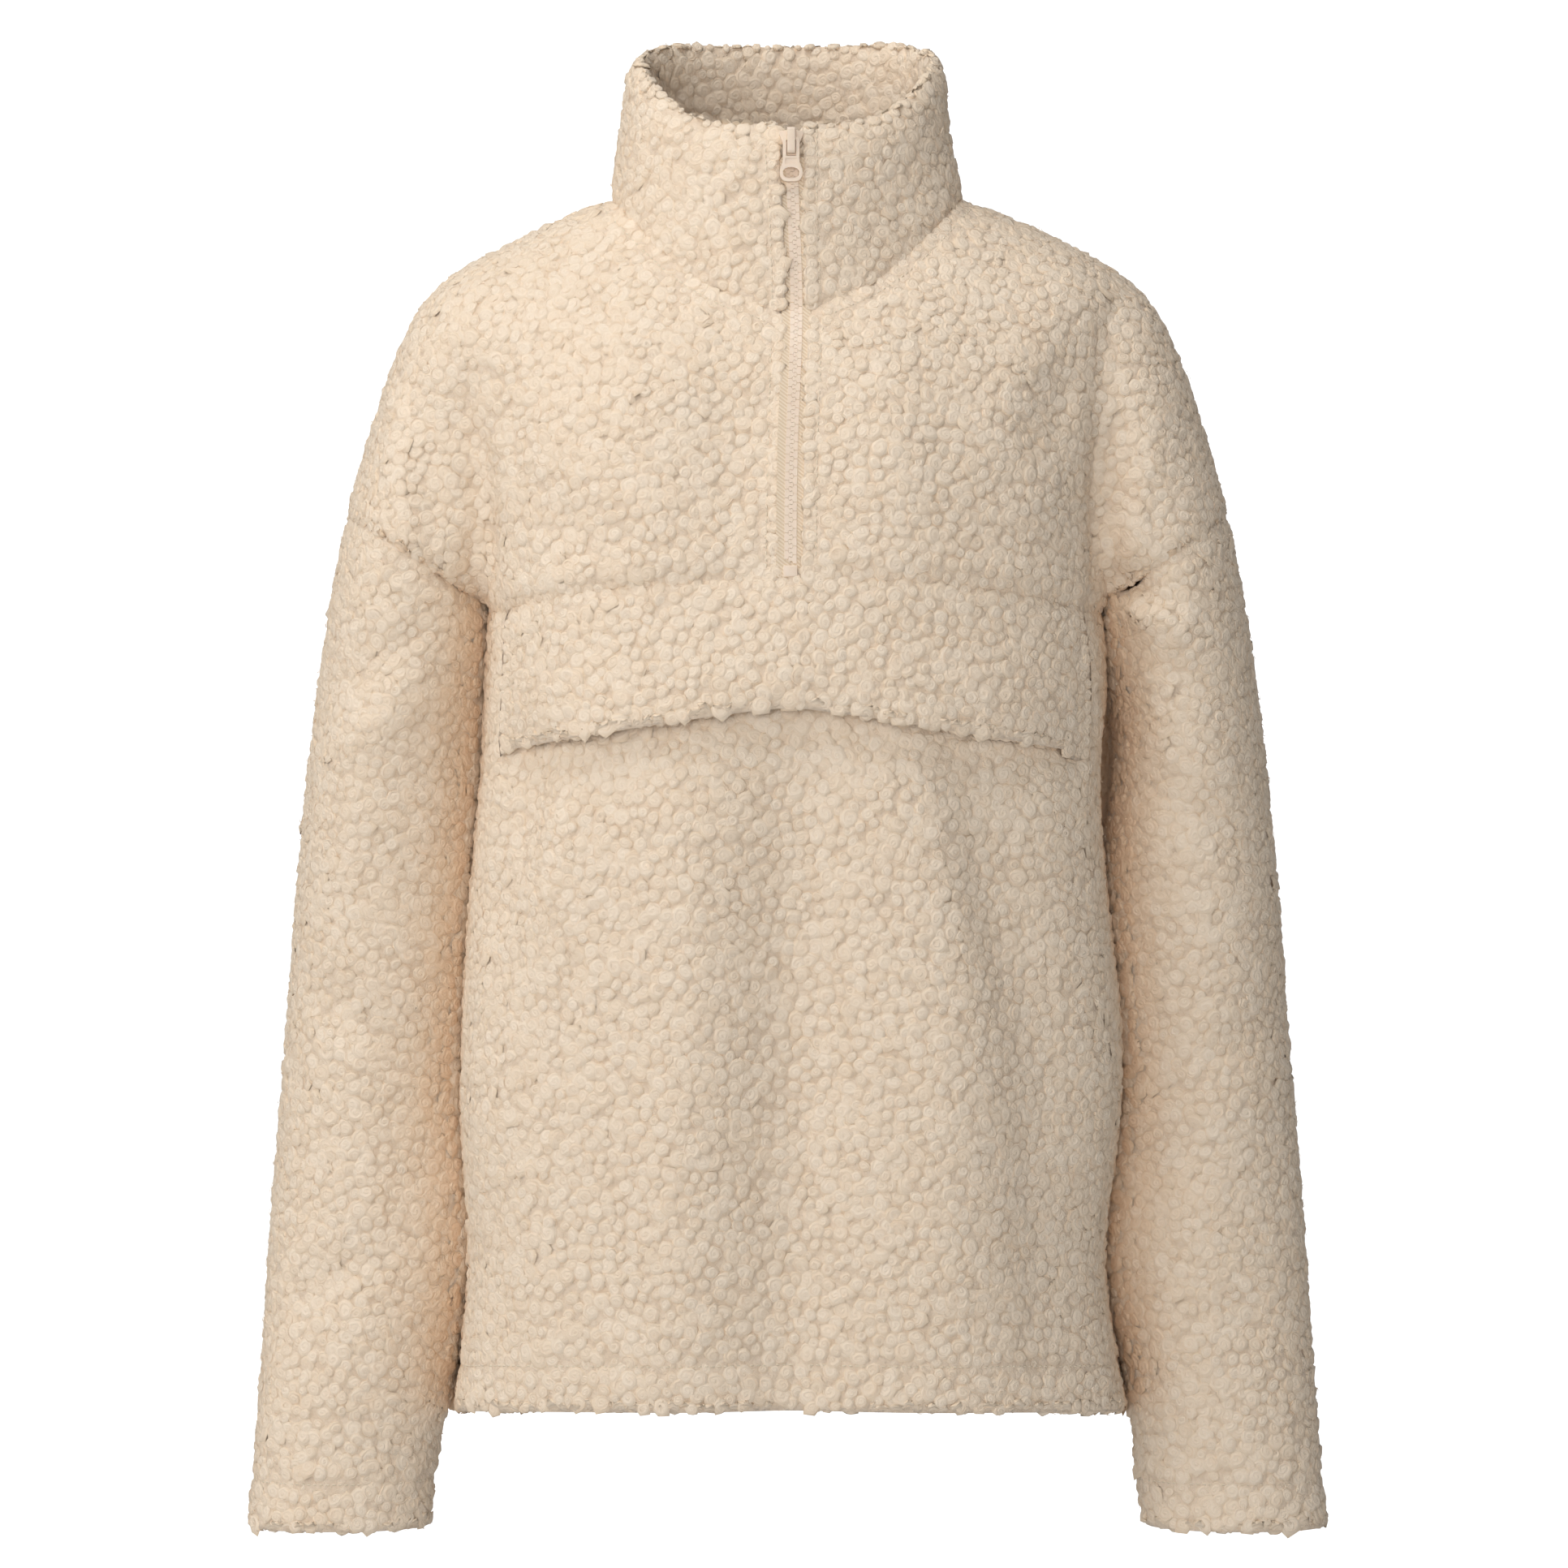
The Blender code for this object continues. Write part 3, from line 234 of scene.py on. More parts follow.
def crease_height(points, normals):
    """Height of the creases, in metres, at points of the cloth."""
    total = np.zeros(len(points))
    flat = points[:, [0, 2]]
    for facing, x_top, z_top, x_bottom, z_bottom, half_width, height, lean in CREASES:
        start, end = np.array([x_top, z_top]) * MM, np.array([x_bottom, z_bottom]) * MM
        run = end - start
        along = np.clip((flat - start) @ run / (run @ run), 0, 1)
        offset = flat - start - along[:, None] * run
        right = np.sign(offset @ np.array([-run[1], run[0]]))
        width = half_width * MM * (1 + 0.65 * lean * right)
        ends = 0.30 + 0.70 * np.sin(math.pi * np.clip(along, 0.04, 0.96))
        fall = np.exp(-((np.linalg.norm(offset, axis=1) / width) ** 2))
        total += height * MM * ends * fall * ease(facing * normals[:, 1] * 1.6)
    return total


def outer_wall(node):
    """The outer face of a solid as a bmesh: the largest stretch of faces joined over gentle bends."""
    bm = bmesh.new()
    bm.from_mesh(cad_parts[node].data)
    bmesh.ops.remove_doubles(bm, verts=bm.verts, dist=1e-5)
    bmesh.ops.join_triangles(bm, faces=bm.faces, angle_face_threshold=0.35, angle_shape_threshold=1.2)
    most_bend = COLLAR_RIM_BEND if node == "collar" else RIM_BEND
    left, best, best_area = set(bm.faces), [], 0.0
    while left:
        seed = left.pop()
        region, stack = [seed], [seed]
        while stack:
            for edge in stack.pop().edges:
                for other in edge.link_faces:
                    if other in left and edge.calc_face_angle(9) < most_bend:
                        left.remove(other)
                        region.append(other)
                        stack.append(other)
        area = sum(face.calc_area() for face in region)
        if area > best_area:
            best, best_area = region, area
    keep = set(best)
    bmesh.ops.delete(bm, geom=[face for face in bm.faces if face not in keep], context="FACES")
    return bm


def smooth_wall(node):
    """The outer wall as arrays, after subdivision and creases: points, normals and quads."""
    bm = outer_wall(node)
    mesh = bpy.data.meshes.new("wall")
    bm.to_mesh(mesh)
    bm.free()
    carrier = bpy.data.objects.new("wall", mesh)
    bpy.context.scene.collection.objects.link(carrier)
    rounding = carrier.modifiers.new("Rounding", "SUBSURF")
    rounding.levels = rounding.render_levels = 2
    rounding.boundary_smooth = "PRESERVE_CORNERS"
    fine = bpy.data.meshes.new_from_object(carrier.evaluated_get(bpy.context.evaluated_depsgraph_get()))
    bpy.data.objects.remove(carrier)
    points = np.zeros(len(fine.vertices) * 3)
    fine.vertices.foreach_get("co", points)
    points = points.reshape(-1, 3)
    normals = np.zeros(len(fine.vertices) * 3)
    fine.vertex_normals.foreach_get("vector", normals)
    normals = normals.reshape(-1, 3)
    quads = np.zeros(len(fine.loops), np.int32)
    fine.loops.foreach_get("vertex_index", quads)
    quads = quads.reshape(-1, 4)
    bpy.data.meshes.remove(fine)
    points = points + normals * crease_height(points, normals)[:, None]
    if node == "sleeve_right":
        beside = np.exp(-(((points[:, 2] - ELBOW_Z) / ELBOW_REACH) ** 2)) * ease(-normals[:, 0] * 1.5)
        points[:, 0] -= ELBOW_SWELL * beside
    shaped = joined_mesh("shaped", points, quads)
    shaped.vertex_normals.foreach_get("vector", normals.reshape(-1))
    bpy.data.meshes.remove(shaped)
    return points, normals, quads


# %% Where a sleeve and the body lie side by side
PILES_MEET = 14 * MM  # widest gap that the piles close
EVENED = 4  # times that the swelling is spread over neighbouring points


def one_tree(walls):
    """All outer walls together, for rays to hit."""
    starts = np.cumsum([0] + [len(points) for points, _, _ in walls.values()])
    quads = np.concatenate([wall[2] + start for wall, start in zip(walls.values(), starts)])
    points = np.concatenate([wall[0] for wall in walls.values()])
    return BVHTree.FromPolygons(points.tolist(), quads.tolist())


def met(walls):
    """Where two pieces lie side by side their piles meet, so both walls swell towards each other there."""
    every, swollen = one_tree(walls), {}
    for node, (points, normals, quads) in walls.items():
        shift = np.zeros(len(points))
        for i, (place, normal) in enumerate(zip(points, normals)):
            _, other, _, gap = every.ray_cast(Vector(place + normal * 0.3 * MM), Vector(normal), PILES_MEET)
            if gap and other @ Vector(normal) < -0.3:
                shift[i] = 0.5 * gap * ease(2 - 2 * gap / PILES_MEET)
        for _ in range(EVENED):
            near, count = np.zeros(len(points)), np.zeros(len(points))
            for k in range(4):
                for a, b in ((quads[:, k], quads[:, k - 1]), (quads[:, k - 1], quads[:, k])):
                    np.add.at(near, a, shift[b])
                    np.add.at(count, a, 1)
            shift = 0.5 * shift + 0.5 * near / np.maximum(count, 1)
        swollen[node] = (points + normals * shift[:, None], normals, quads)
    return swollen


walls = met({node: smooth_wall(node) for node in CLOTH_NODES})
for node, (points, normals, quads) in walls.items():
    print(f"{node}: {len(quads)} quads")

# %% [markdown]
# ## The shells
#
# The curls stand in a thin knitted backing. Its outer face lies under the solid's face,
# by the part of the pile that stands free, and its brushed inner face a little deeper.
# Both come from the same wall, moved in along its normals. Where an edge is sewn to the
# next piece, the shell goes on under that piece as a seam allowance, so no light falls
# through the seam. A free edge, such as the hem, is only rounded.

# %% Which edges are free
def zip_x(z):
    """The zip sways a little to one side; metres."""
    return (1.5 + 3.0 * np.exp(-(((z / MM + 60) / 60) ** 2))) * MM


def at_zip(p):
    return abs(p[0] - zip_x(p[2])) < 7.5 * MM and p[1] < 0


def at_hem(p):
    return p[2] < -0.600


def at_cuff(p):
    return p[2] < -0.676


def at_flap_edge(p):
    return p[2] < -0.252 and abs(p[0]) < 0.143


FREE_EDGES = {
    "front_lower": at_hem,
    "back": at_hem,
    "sleeve_left": at_cuff,
    "sleeve_right": at_cuff,
    "pocket_flap": at_flap_edge,
    "front_upper_left": at_zip,
    "front_upper_right": at_zip,
    "collar": at_zip,
}

# %% Shells
PILE = 1.15 * MM
BACKING = 2.5 * MM
SEAM_ALLOWANCE = 4.5 * MM
ALLOWANCE_SINK = 0.5 * MM
SEAM_DIP = 0.5 * MM
EDGE_ROUNDING = 0.1 * MM


def open_edges(quads):
    """Edges with a face on one side only, each running the way its face does."""
    edges = np.concatenate([quads[:, [i, (i + 1) % 4]] for i in range(4)])
    _, first, count = np.unique(np.sort(edges, axis=1), axis=0, return_index=True, return_counts=True)
    return edges[first[count == 1]]


def ways_out(node):
    """For each point on an open edge, the way out of the cloth along its surface."""
    points, normals, quads = walls[node]
    found = np.zeros((len(points), 3))
    for a, b in open_edges(quads):
        out = np.cross(points[b] - points[a], (normals[a] + normals[b]) / 2)
        found[[a, b]] += out / np.linalg.norm(out)
    return unit(found)


def shell_mesh(name, node):
    points, normals, quads = walls[node]
    near, far = points - normals * PILE, points - normals * (PILE + BACKING)
    edges = open_edges(quads)
    border = np.unique(edges)
    out = ways_out(node)[border]
    free = np.array([bool(FREE_EDGES[node](points[i])) for i in border])[:, None]
    near[border] -= normals[border] * np.where(free, 0, SEAM_DIP)
    reach = np.where(free, EDGE_ROUNDING, SEAM_ALLOWANCE)
    sink = np.where(free, BACKING / 2, ALLOWANCE_SINK)
    tips = near[border] + out * reach - normals[border] * sink
    count = len(points)
    tip_of = np.zeros(count, int)
    tip_of[border] = np.arange(len(border)) + (count if node == "collar" else 2 * count)
    a, b = edges[:, 0], edges[:, 1]
    first = np.stack([b, a, tip_of[a], tip_of[b]], axis=1)
    if node == "collar":  # its wall already goes over the rim and down the inside
        return joined_mesh(name, np.concatenate([near, tips]), np.concatenate([quads, first]))
    second = np.stack([tip_of[b], tip_of[a], a + count, b + count], axis=1)
    faces = np.concatenate([quads, quads[:, ::-1] + count, first, second])
    return joined_mesh(name, np.concatenate([near, far, tips]), faces)


# %% [markdown]
# ## Seams and rows of stitches
#
# A row of stitches follows an edge of its panel at a fixed distance. So the edge is read
# from the wall as a line of points, moved in across the cloth, and set back on the wall.

# %% Lines along the panels' edges
def edge_lines(node, chosen):
    """Stretches of the wall's edge whose points pass a test, as (points, ways out of the cloth, normals)."""
    points, normals, quads = walls[node]
    edges = open_edges(quads)
    following = {int(a): int(b) for a, b in edges}
    way_out = {}
    for a, b in edges:
        run = points[b] - points[a]
        out = np.cross(run, (normals[a] + normals[b]) / 2)
        for i in (a, b):
            way_out[int(i)] = way_out.get(int(i), 0) + out / np.linalg.norm(out)
    used, lines = set(), []
    passes = {i: bool(chosen(points[i])) for i in following}
    starts = [i for i in following if passes[i]]
    before = {b: a for a, b in following.items()}
    for start in sorted(starts, key=lambda i: passes.get(before.get(i), False)):
        line, i = [], start
        while i in following and i not in used and passes[i]:
            used.add(i)
            line.append(i)
            i = following[i]
        if len(line) > 2:
            if i == line[0]:
                line.append(i)
            lines.append((points[line], unit(np.array([way_out[j] for j in line])), normals[line]))
    return lines


def tree_of(points):
    tree = KDTree(len(points))
    for i, point in enumerate(points):
        tree.insert(point, i)
    tree.balance()
    return tree


def surface_of(node):
    points, _, quads = walls[node]
    return BVHTree.FromPolygons([tuple(p) for p in points], [tuple(int(i) for i in q) for q in quads])


def resampled(line, step):
    """The same line with its points an even step apart."""
    lengths = np.concatenate([[0], np.cumsum(np.linalg.norm(np.diff(line, axis=0), axis=1))])
    at = np.arange(0, lengths[-1], step)
    return np.stack([np.interp(at, lengths, line[:, i]) for i in range(3)], axis=1)


def row_along(node, chosen, distance, trim=0.0):
    """Rows of stitches at a distance inside an edge: a list of (points, normals)."""
    surface, rows = surfaces[node], []
    for line, out, _ in edge_lines(node, chosen):
        inside = resampled(line - out * distance, 1.0 * MM)
        if trim:
            inside = inside[int(trim / MM) : len(inside) - int(trim / MM)]
        hits = [surface.find_nearest(Vector(point)) for point in inside]
        rows.append((np.array([hit[0] for hit in hits]), np.array([hit[1] for hit in hits])))
    return rows


def row_down(node, path):
    """A row of stitches down a panel, where rays from the front meet it: path is a list of (x, z) in mm."""
    path = resampled(np.array([(x, 0.0, z) for x, z in path]) * MM, 1.0 * MM)
    hits = [surfaces[node].ray_cast(Vector((p[0], -1.0, p[2])), Vector((0, 1, 0))) for p in path]
    hits = [hit for hit in hits if hit[0] is not None]
    return [(np.array([hit[0] for hit in hits]), np.array([hit[1] for hit in hits]))]


def at_neck(p):
    return np.hypot(p[0], p[1] + 0.004) < 96 * MM and p[2] > -0.067 and not at_zip(p)


surfaces = {node: surface_of(node) for node in CLOTH_NODES}
hem = [row_along(node, at_hem, 23 * MM) for node in ("front_lower", "back")]
cuffs = [row_along(node, at_cuff, 24 * MM) for node in ("sleeve_left", "sleeve_right")]
flap_edge = [row_along("pocket_flap", lambda p: p[2] < -0.252 and abs(p[0]) < 0.139, 5.5 * MM)]
flap_sides = [row_down("pocket_flap", [(x, -222), (x + turn, -279)]) for x, turn in ((-140, 0), (147.5, -1))]
uppers = ("front_upper_left", "front_upper_right")
neck_rows = [row_along(node, at_neck, 6.5 * MM, 2 * MM) for node in (*uppers, "back")]
zip_rows = [row_along(node, at_zip, 6.5 * MM, 3 * MM) for node in (*uppers, "collar")]
stitch_rows = [row for group in hem + cuffs + flap_edge + flap_sides + neck_rows + zip_rows for row in group]
print(len(stitch_rows), "rows of stitches,", sum(len(row[0]) for row in stitch_rows), "mm in all")

# %% [markdown]
# ## The curls
#
# The fleece is a field of small curls, each a ring of fibres wound round a little hole,
# 6 to 9 mm wide. One curl is a low dome with a dimple, of 25 triangles, and a loose
# fibre of 6 more that catches the light. Thousands of
# them, each turned, tilted and stretched by chance, are joined into one mesh per panel.
# Where a row of stitches or a seam holds the cloth down, the curls are smaller and lie
# lower, and none stands on the stitches. They are also smaller on a narrow rim.

# %% Places for the curls
CURL_SPACING = 6.9 * MM
LEAST_GAP = 0.75  # of the spacing, between two neighbours
TRIES = 22  # for each place that could be taken
EDGE_ROW = 0.85  # of the spacing, along a free edge
EDGE_CLEAR = 1.8 * MM
EDGE_INSET = 0.9 * MM
ZIP_INSET = 2.6 * MM
SEAM_CLEAR = 1.3 * MM
STITCH_CLEAR = 1.0 * MM
chance = np.random.default_rng(7)


def scattered(node):
    """Even places on a panel's wall, none too near another: points and normals."""
    points, normals, quads = walls[node]
    triangles = np.concatenate([quads[:, [0, 1, 2]], quads[:, [0, 2, 3]]])
    a, b, c = (points[triangles[:, i]] for i in range(3))
    areas = np.linalg.norm(np.cross(b - a, c - a), axis=1) / 2
    gap = LEAST_GAP * CURL_SPACING
    tries = int(TRIES * areas.sum() / gap**2)
    pick = chance.choice(len(triangles), tries, p=areas / areas.sum())
    s, t = chance.random(tries), chance.random(tries)
    s, t = np.where(s + t > 1, 1 - s, s)[:, None], np.where(s + t > 1, 1 - t, t)[:, None]
    at = a[pick] + s * (b - a)[pick] + t * (c - a)[pick]
    facing = [normals[triangles[pick, i]] for i in range(3)]
    facing = unit(facing[0] * (1 - s - t) + facing[1] * s + facing[2] * t)
    cells = np.floor(at / gap).astype(int).tolist()
    taken, kept = {}, []
    near = [(i, j, k) for i in (-1, 0, 1) for j in (-1, 0, 1) for k in (-1, 0, 1)]
    for i, ((u, v, w), (x, y, z)) in enumerate(zip(cells, at.tolist())):
        if (u, v, w) in taken:
            continue
        free = True
        for di, dj, dk in near:
            other = taken.get((u + di, v + dj, w + dk))
            if other and (other[0] - x) ** 2 + (other[1] - y) ** 2 + (other[2] - z) ** 2 < gap * gap:
                free = False
                break
        if free:
            taken[(u, v, w)] = (x, y, z)
            kept.append(i)
    return at[kept], facing[kept]


def at_flap_side(p):
    return -0.287 < p[2] < -0.210 and abs(p[0]) > 0.141


def on_edges(node):
    """Places for the rows of curls along a panel's edges.

    On a hem, a cuff or the pocket's edge they look outwards and round the rim. Along the
    zip and on the pocket's sewn sides they look the way the cloth does and only fill it."""
    rounded = [(lambda p: FREE_EDGES[node](p) and not at_zip(p), True, EDGE_INSET)]
    filled = [(lambda p: FREE_EDGES[node](p) and at_zip(p), False, ZIP_INSET)]
    if node == "pocket_flap":
        filled.append((at_flap_side, False, 0.0))
    found = [np.zeros((2, 0, 3))]
    for chosen, turned, inset in rounded + filled:
        for line, out, normals in edge_lines(node, chosen):
            lengths = np.concatenate([[0], np.cumsum(np.linalg.norm(np.diff(line, axis=0), axis=1))])
            at = np.arange(CURL_SPACING / 2, lengths[-1], CURL_SPACING * EDGE_ROW)
            at = at + chance.uniform(-1, 1, len(at)) * MM
            place, way, normal = (
                np.stack([np.interp(at, lengths, values[:, i]) for i in range(3)], 1)
                for values in (line, out, normals)
            )
            place = place - way * (inset + chance.uniform(-0.7, 0.9, (len(at), 1)) * MM)
            if turned:
                place = place - normal * 1.5 * MM
                normal = unit(way * chance.uniform(0.45, 1.0, (len(at), 1)) + normal * 0.6)
            found.append(np.stack([place, unit(normal)]))
    return np.concatenate(found, axis=1)


def moved_off(at, facing, tree, distance):
    """Moves each place that is too near to a line straight away from it."""
    at = at.copy()
    for i, (place, normal) in enumerate(zip(at, facing)):
        nearest, _, gap = tree.find(place)
        if gap < distance:
            away = place - np.array(nearest)
            away -= normal * (away @ normal)
            at[i] += away / max(np.linalg.norm(away), 1e-6) * (distance - gap)
    return at


STITCH_PRESS = 2.8 * MM
SEAM_PRESS = 3.4 * MM
stitched = tree_of(np.concatenate([row[0] for row in stitch_rows]))
seams, free_edges = {}, {}
for node in CLOTH_NODES:
    lines = edge_lines(node, lambda p, free=FREE_EDGES[node]: not free(p))
    seams[node] = tree_of(np.concatenate([resampled(line, 2 * MM) for line, _, _ in lines]))
    lines = edge_lines(node, FREE_EDGES[node])
    free_edges[node] = tree_of(np.concatenate([resampled(line, 2 * MM) for line, _, _ in lines]))


def pressed(node, at):
    """How far the curls at these places are held down: 0 to 1."""
    from_stitches = np.array([stitched.find(p)[2] for p in at])
    from_seams = np.array([seams[node].find(p)[2] for p in at])
    rows = np.exp(-((from_stitches / STITCH_PRESS) ** 2))
    if node == "pocket_flap":
        rows = rows * np.where(at[:, 0] < 20 * MM, 0.15, 0.5)
    return np.clip(np.maximum(rows, 0.8 * np.exp(-((from_seams / SEAM_PRESS) ** 2))), 0, 1)


all_cloth = one_tree(walls)
LOOKS = unit(np.array([(0, 0), (1, 0), (0.3, 0.95), (-0.8, 0.6), (-0.8, -0.6), (0.3, -0.95)]) @ np.eye(2, 3))
NEARBY = 110 * MM


def enclosed(at, facing):
    """How much of what each curl looks at is other cloth near by: 0 to 1."""
    across = unit(np.cross(facing, [0.31, 0.2, 0.93]))
    along = np.cross(facing, across)
    seen = np.zeros(len(at))
    for x, y, _ in LOOKS:
        ways = unit(facing + 0.85 * (x * across + y * along))
        for i, (place, normal, way) in enumerate(zip(at, facing, ways)):
            seen[i] += all_cloth.ray_cast(Vector(place + normal * 3 * MM), Vector(way), NEARBY)[0] is not None
    return (seen / len(LOOKS)) ** 2


def bend_at(node, at, facing):
    """How sharply the cloth turns within a curl's reach: 0 where it is flat, 1 on a narrow rim."""
    points, normals, _ = walls[node]
    tree = tree_of(points)
    turned = [
        max(1 - normal @ normals[i] for _, i, _ in tree.find_n(place, 7)) for place, normal in zip(at, facing)
    ]
    return np.clip(np.array(turned) / 0.8, 0, 1)


# %% One curl, and a panel full of them
SIDES = 5
RINGS = [(0.36, 0.97), (0.72, 0.80), (0.96, 0.05)]  # radius and height, as shares
CURL_RADIUS = 6.2 * MM
CURL_HEIGHT = 2.75 * MM
CURL_ROOT = 2.4 * MM  # under the wall
CURL_SINK = 1.0 * MM  # further down where the cloth is held
CURL_TILT = 0.16


def curl_template():
    points, faces = [(0.0, 0.0, 1.0)], []
    for r, (radius, height) in enumerate(RINGS):
        for i in range(SIDES):
            angle = 2 * math.pi * (i + 0.5 * (r % 2)) / SIDES
            points.append((radius * math.cos(angle), radius * math.sin(angle), height))
    for i in range(SIDES):
        j = (i + 1) % SIDES
        faces.append((0, 1 + i, 1 + j))
        for r in range(len(RINGS) - 1):
            low, high = 1 + r * SIDES, 1 + (r + 1) * SIDES
            if r % 2 == 0:
                faces += [(low + i, high + i, low + j), (high + i, high + j, low + j)]
            else:
                faces += [(low + i, high + i, high + j), (low + i, high + j, low + j)]
    return np.array(points), np.array(faces)


STRAND_STEPS = 3


def strands(count):
    """One loose fibre on each curl: a narrow arc round the hole, with one end lifted; shares of the curl."""
    radius = chance.uniform(0.34, 0.72, count)
    start, sweep = chance.uniform(0, 2 * math.pi, count), chance.uniform(1.7, 3.3, count)
    lift = chance.uniform(0.0, 0.45, count) ** 2
    points = []
    for k in range(STRAND_STEPS + 1):
        share = k / STRAND_STEPS
        turn = start + sweep * share
        half = 0.012 + 0.038 * math.sin(math.pi * min(max(share, 0.05), 0.95))
        top = 1.04 - 0.30 * np.maximum(radius - 0.36, 0) + lift * share * 2
        for side in (-half, half):
            reach = radius + side
            points.append(np.stack([reach * np.cos(turn), reach * np.sin(turn), top], axis=1))
    faces = []
    for k in range(STRAND_STEPS):
        faces += [(2 * k, 2 * k + 1, 2 * k + 3), (2 * k, 2 * k + 3, 2 * k + 2)]
    return np.stack(points, axis=1), np.array(faces)


def curls_mesh(name, at, facing, press, bend, shade):
    """Many curls as one mesh; each point knows its place in its curl and its curl's number by chance."""
    template, faces = curl_template()
    loose, loose_faces = strands(len(at))
    count, solid, size = len(at), len(template), len(template) + loose.shape[1]
    normal = unit(facing + CURL_TILT * chance.normal(0, 1, (count, 3)))
    across = unit(np.cross(normal, chance.normal(0, 1, (count, 3))))
    along = np.cross(normal, across)
    radius = CURL_RADIUS * chance.uniform(0.60, 1.12, count) * (1 - 0.22 * press) * (1 - 0.40 * bend)
    stretch = chance.uniform(0.88, 1.14, count)
    height = CURL_HEIGHT * chance.uniform(0.84, 1.16, count) * (1 - 0.25 * press)
    local = np.tile(template, (count, 1, 1))
    local[:, :, :2] *= 1 + chance.normal(0, 0.07, (count, solid, 1))
    local[:, :, 2] += chance.normal(0, 0.05, (count, solid))
    local[:, 0, 2] = chance.uniform(0.66, 1.0, count)  # some curls have a hole, some are balls
    local = np.concatenate([local, loose], axis=1)
    base = at - facing * (CURL_ROOT + CURL_SINK * press)[:, None]
    points = base[:, None, :] + (radius * stretch)[:, None, None] * local[:, :, 0:1] * across[:, None, :]
    points += (radius / stretch)[:, None, None] * local[:, :, 1:2] * along[:, None, :]
    points += height[:, None, None] * local[:, :, 2:3] * normal[:, None, :]
    first = (np.arange(count) * size)[:, None, None]
    every = [(faces[None] + first).reshape(-1, 3), (loose_faces[None] + solid + first).reshape(-1, 3)]
    rim = solid - SIDES
    floor = np.array([(rim, rim + k + 1, rim + k) for k in range(1, SIDES - 1)])
    every.append((floor[None] + first[bend > 0.08]).reshape(-1, 3))  # seen from below on a rim
    mesh = joined_mesh(name, points.reshape(-1, 3), np.concatenate(every))
    number = np.repeat(chance.random(count), size)
    place = np.column_stack([local[:, :, :2].reshape(-1, 2), number])
    point_attribute(mesh, "curl", place)
    point_attribute(mesh, "rise", np.clip(local[:, :, 2], 0, 1).ravel())
    point_attribute(mesh, "cloth", np.repeat(facing, size, axis=0))
    point_attribute(mesh, "shade", np.repeat(shade, size))
    return mesh


# %% [markdown]
# ## Materials
#
# The pile is matt cream wool-like polyester: fully rough, with a soft sheen where it
# turns away from the eye. Its cream is kept at the tips and painted a warm tan lower down,
# between the curls, in their holes and in the grooves of their spirals: painted shade.
# Where a curl faces other cloth near by, most inside the collar, its colour takes a warm
# tint as painted bounced light. Inside a curl its fibres wind round in a spiral, which is
# drawn from the point's place in its curl. The zip's plastic is semi-matt, and its tapes
# are a fine twill.

# %% Fleece
TIP = linear("#F7E6D1")
WARM_TIP = linear("#F3DFC7")
# painted shade: the warm tan painted down between the curls, in their holes and in their spirals' grooves
PAINTED_SHADE_TAN = linear("#EAD3B6")
BOUNCED = linear("#FFDCB4")  # tint of light that has come off cream fleece before
WINDINGS = 2.6  # turns of the spiral from the hole to the rim
STRANDS = 3  # fibre bundles side by side in one winding
CLOTH_SHARE = 0.6  # how far the fibres scatter light as one soft surface


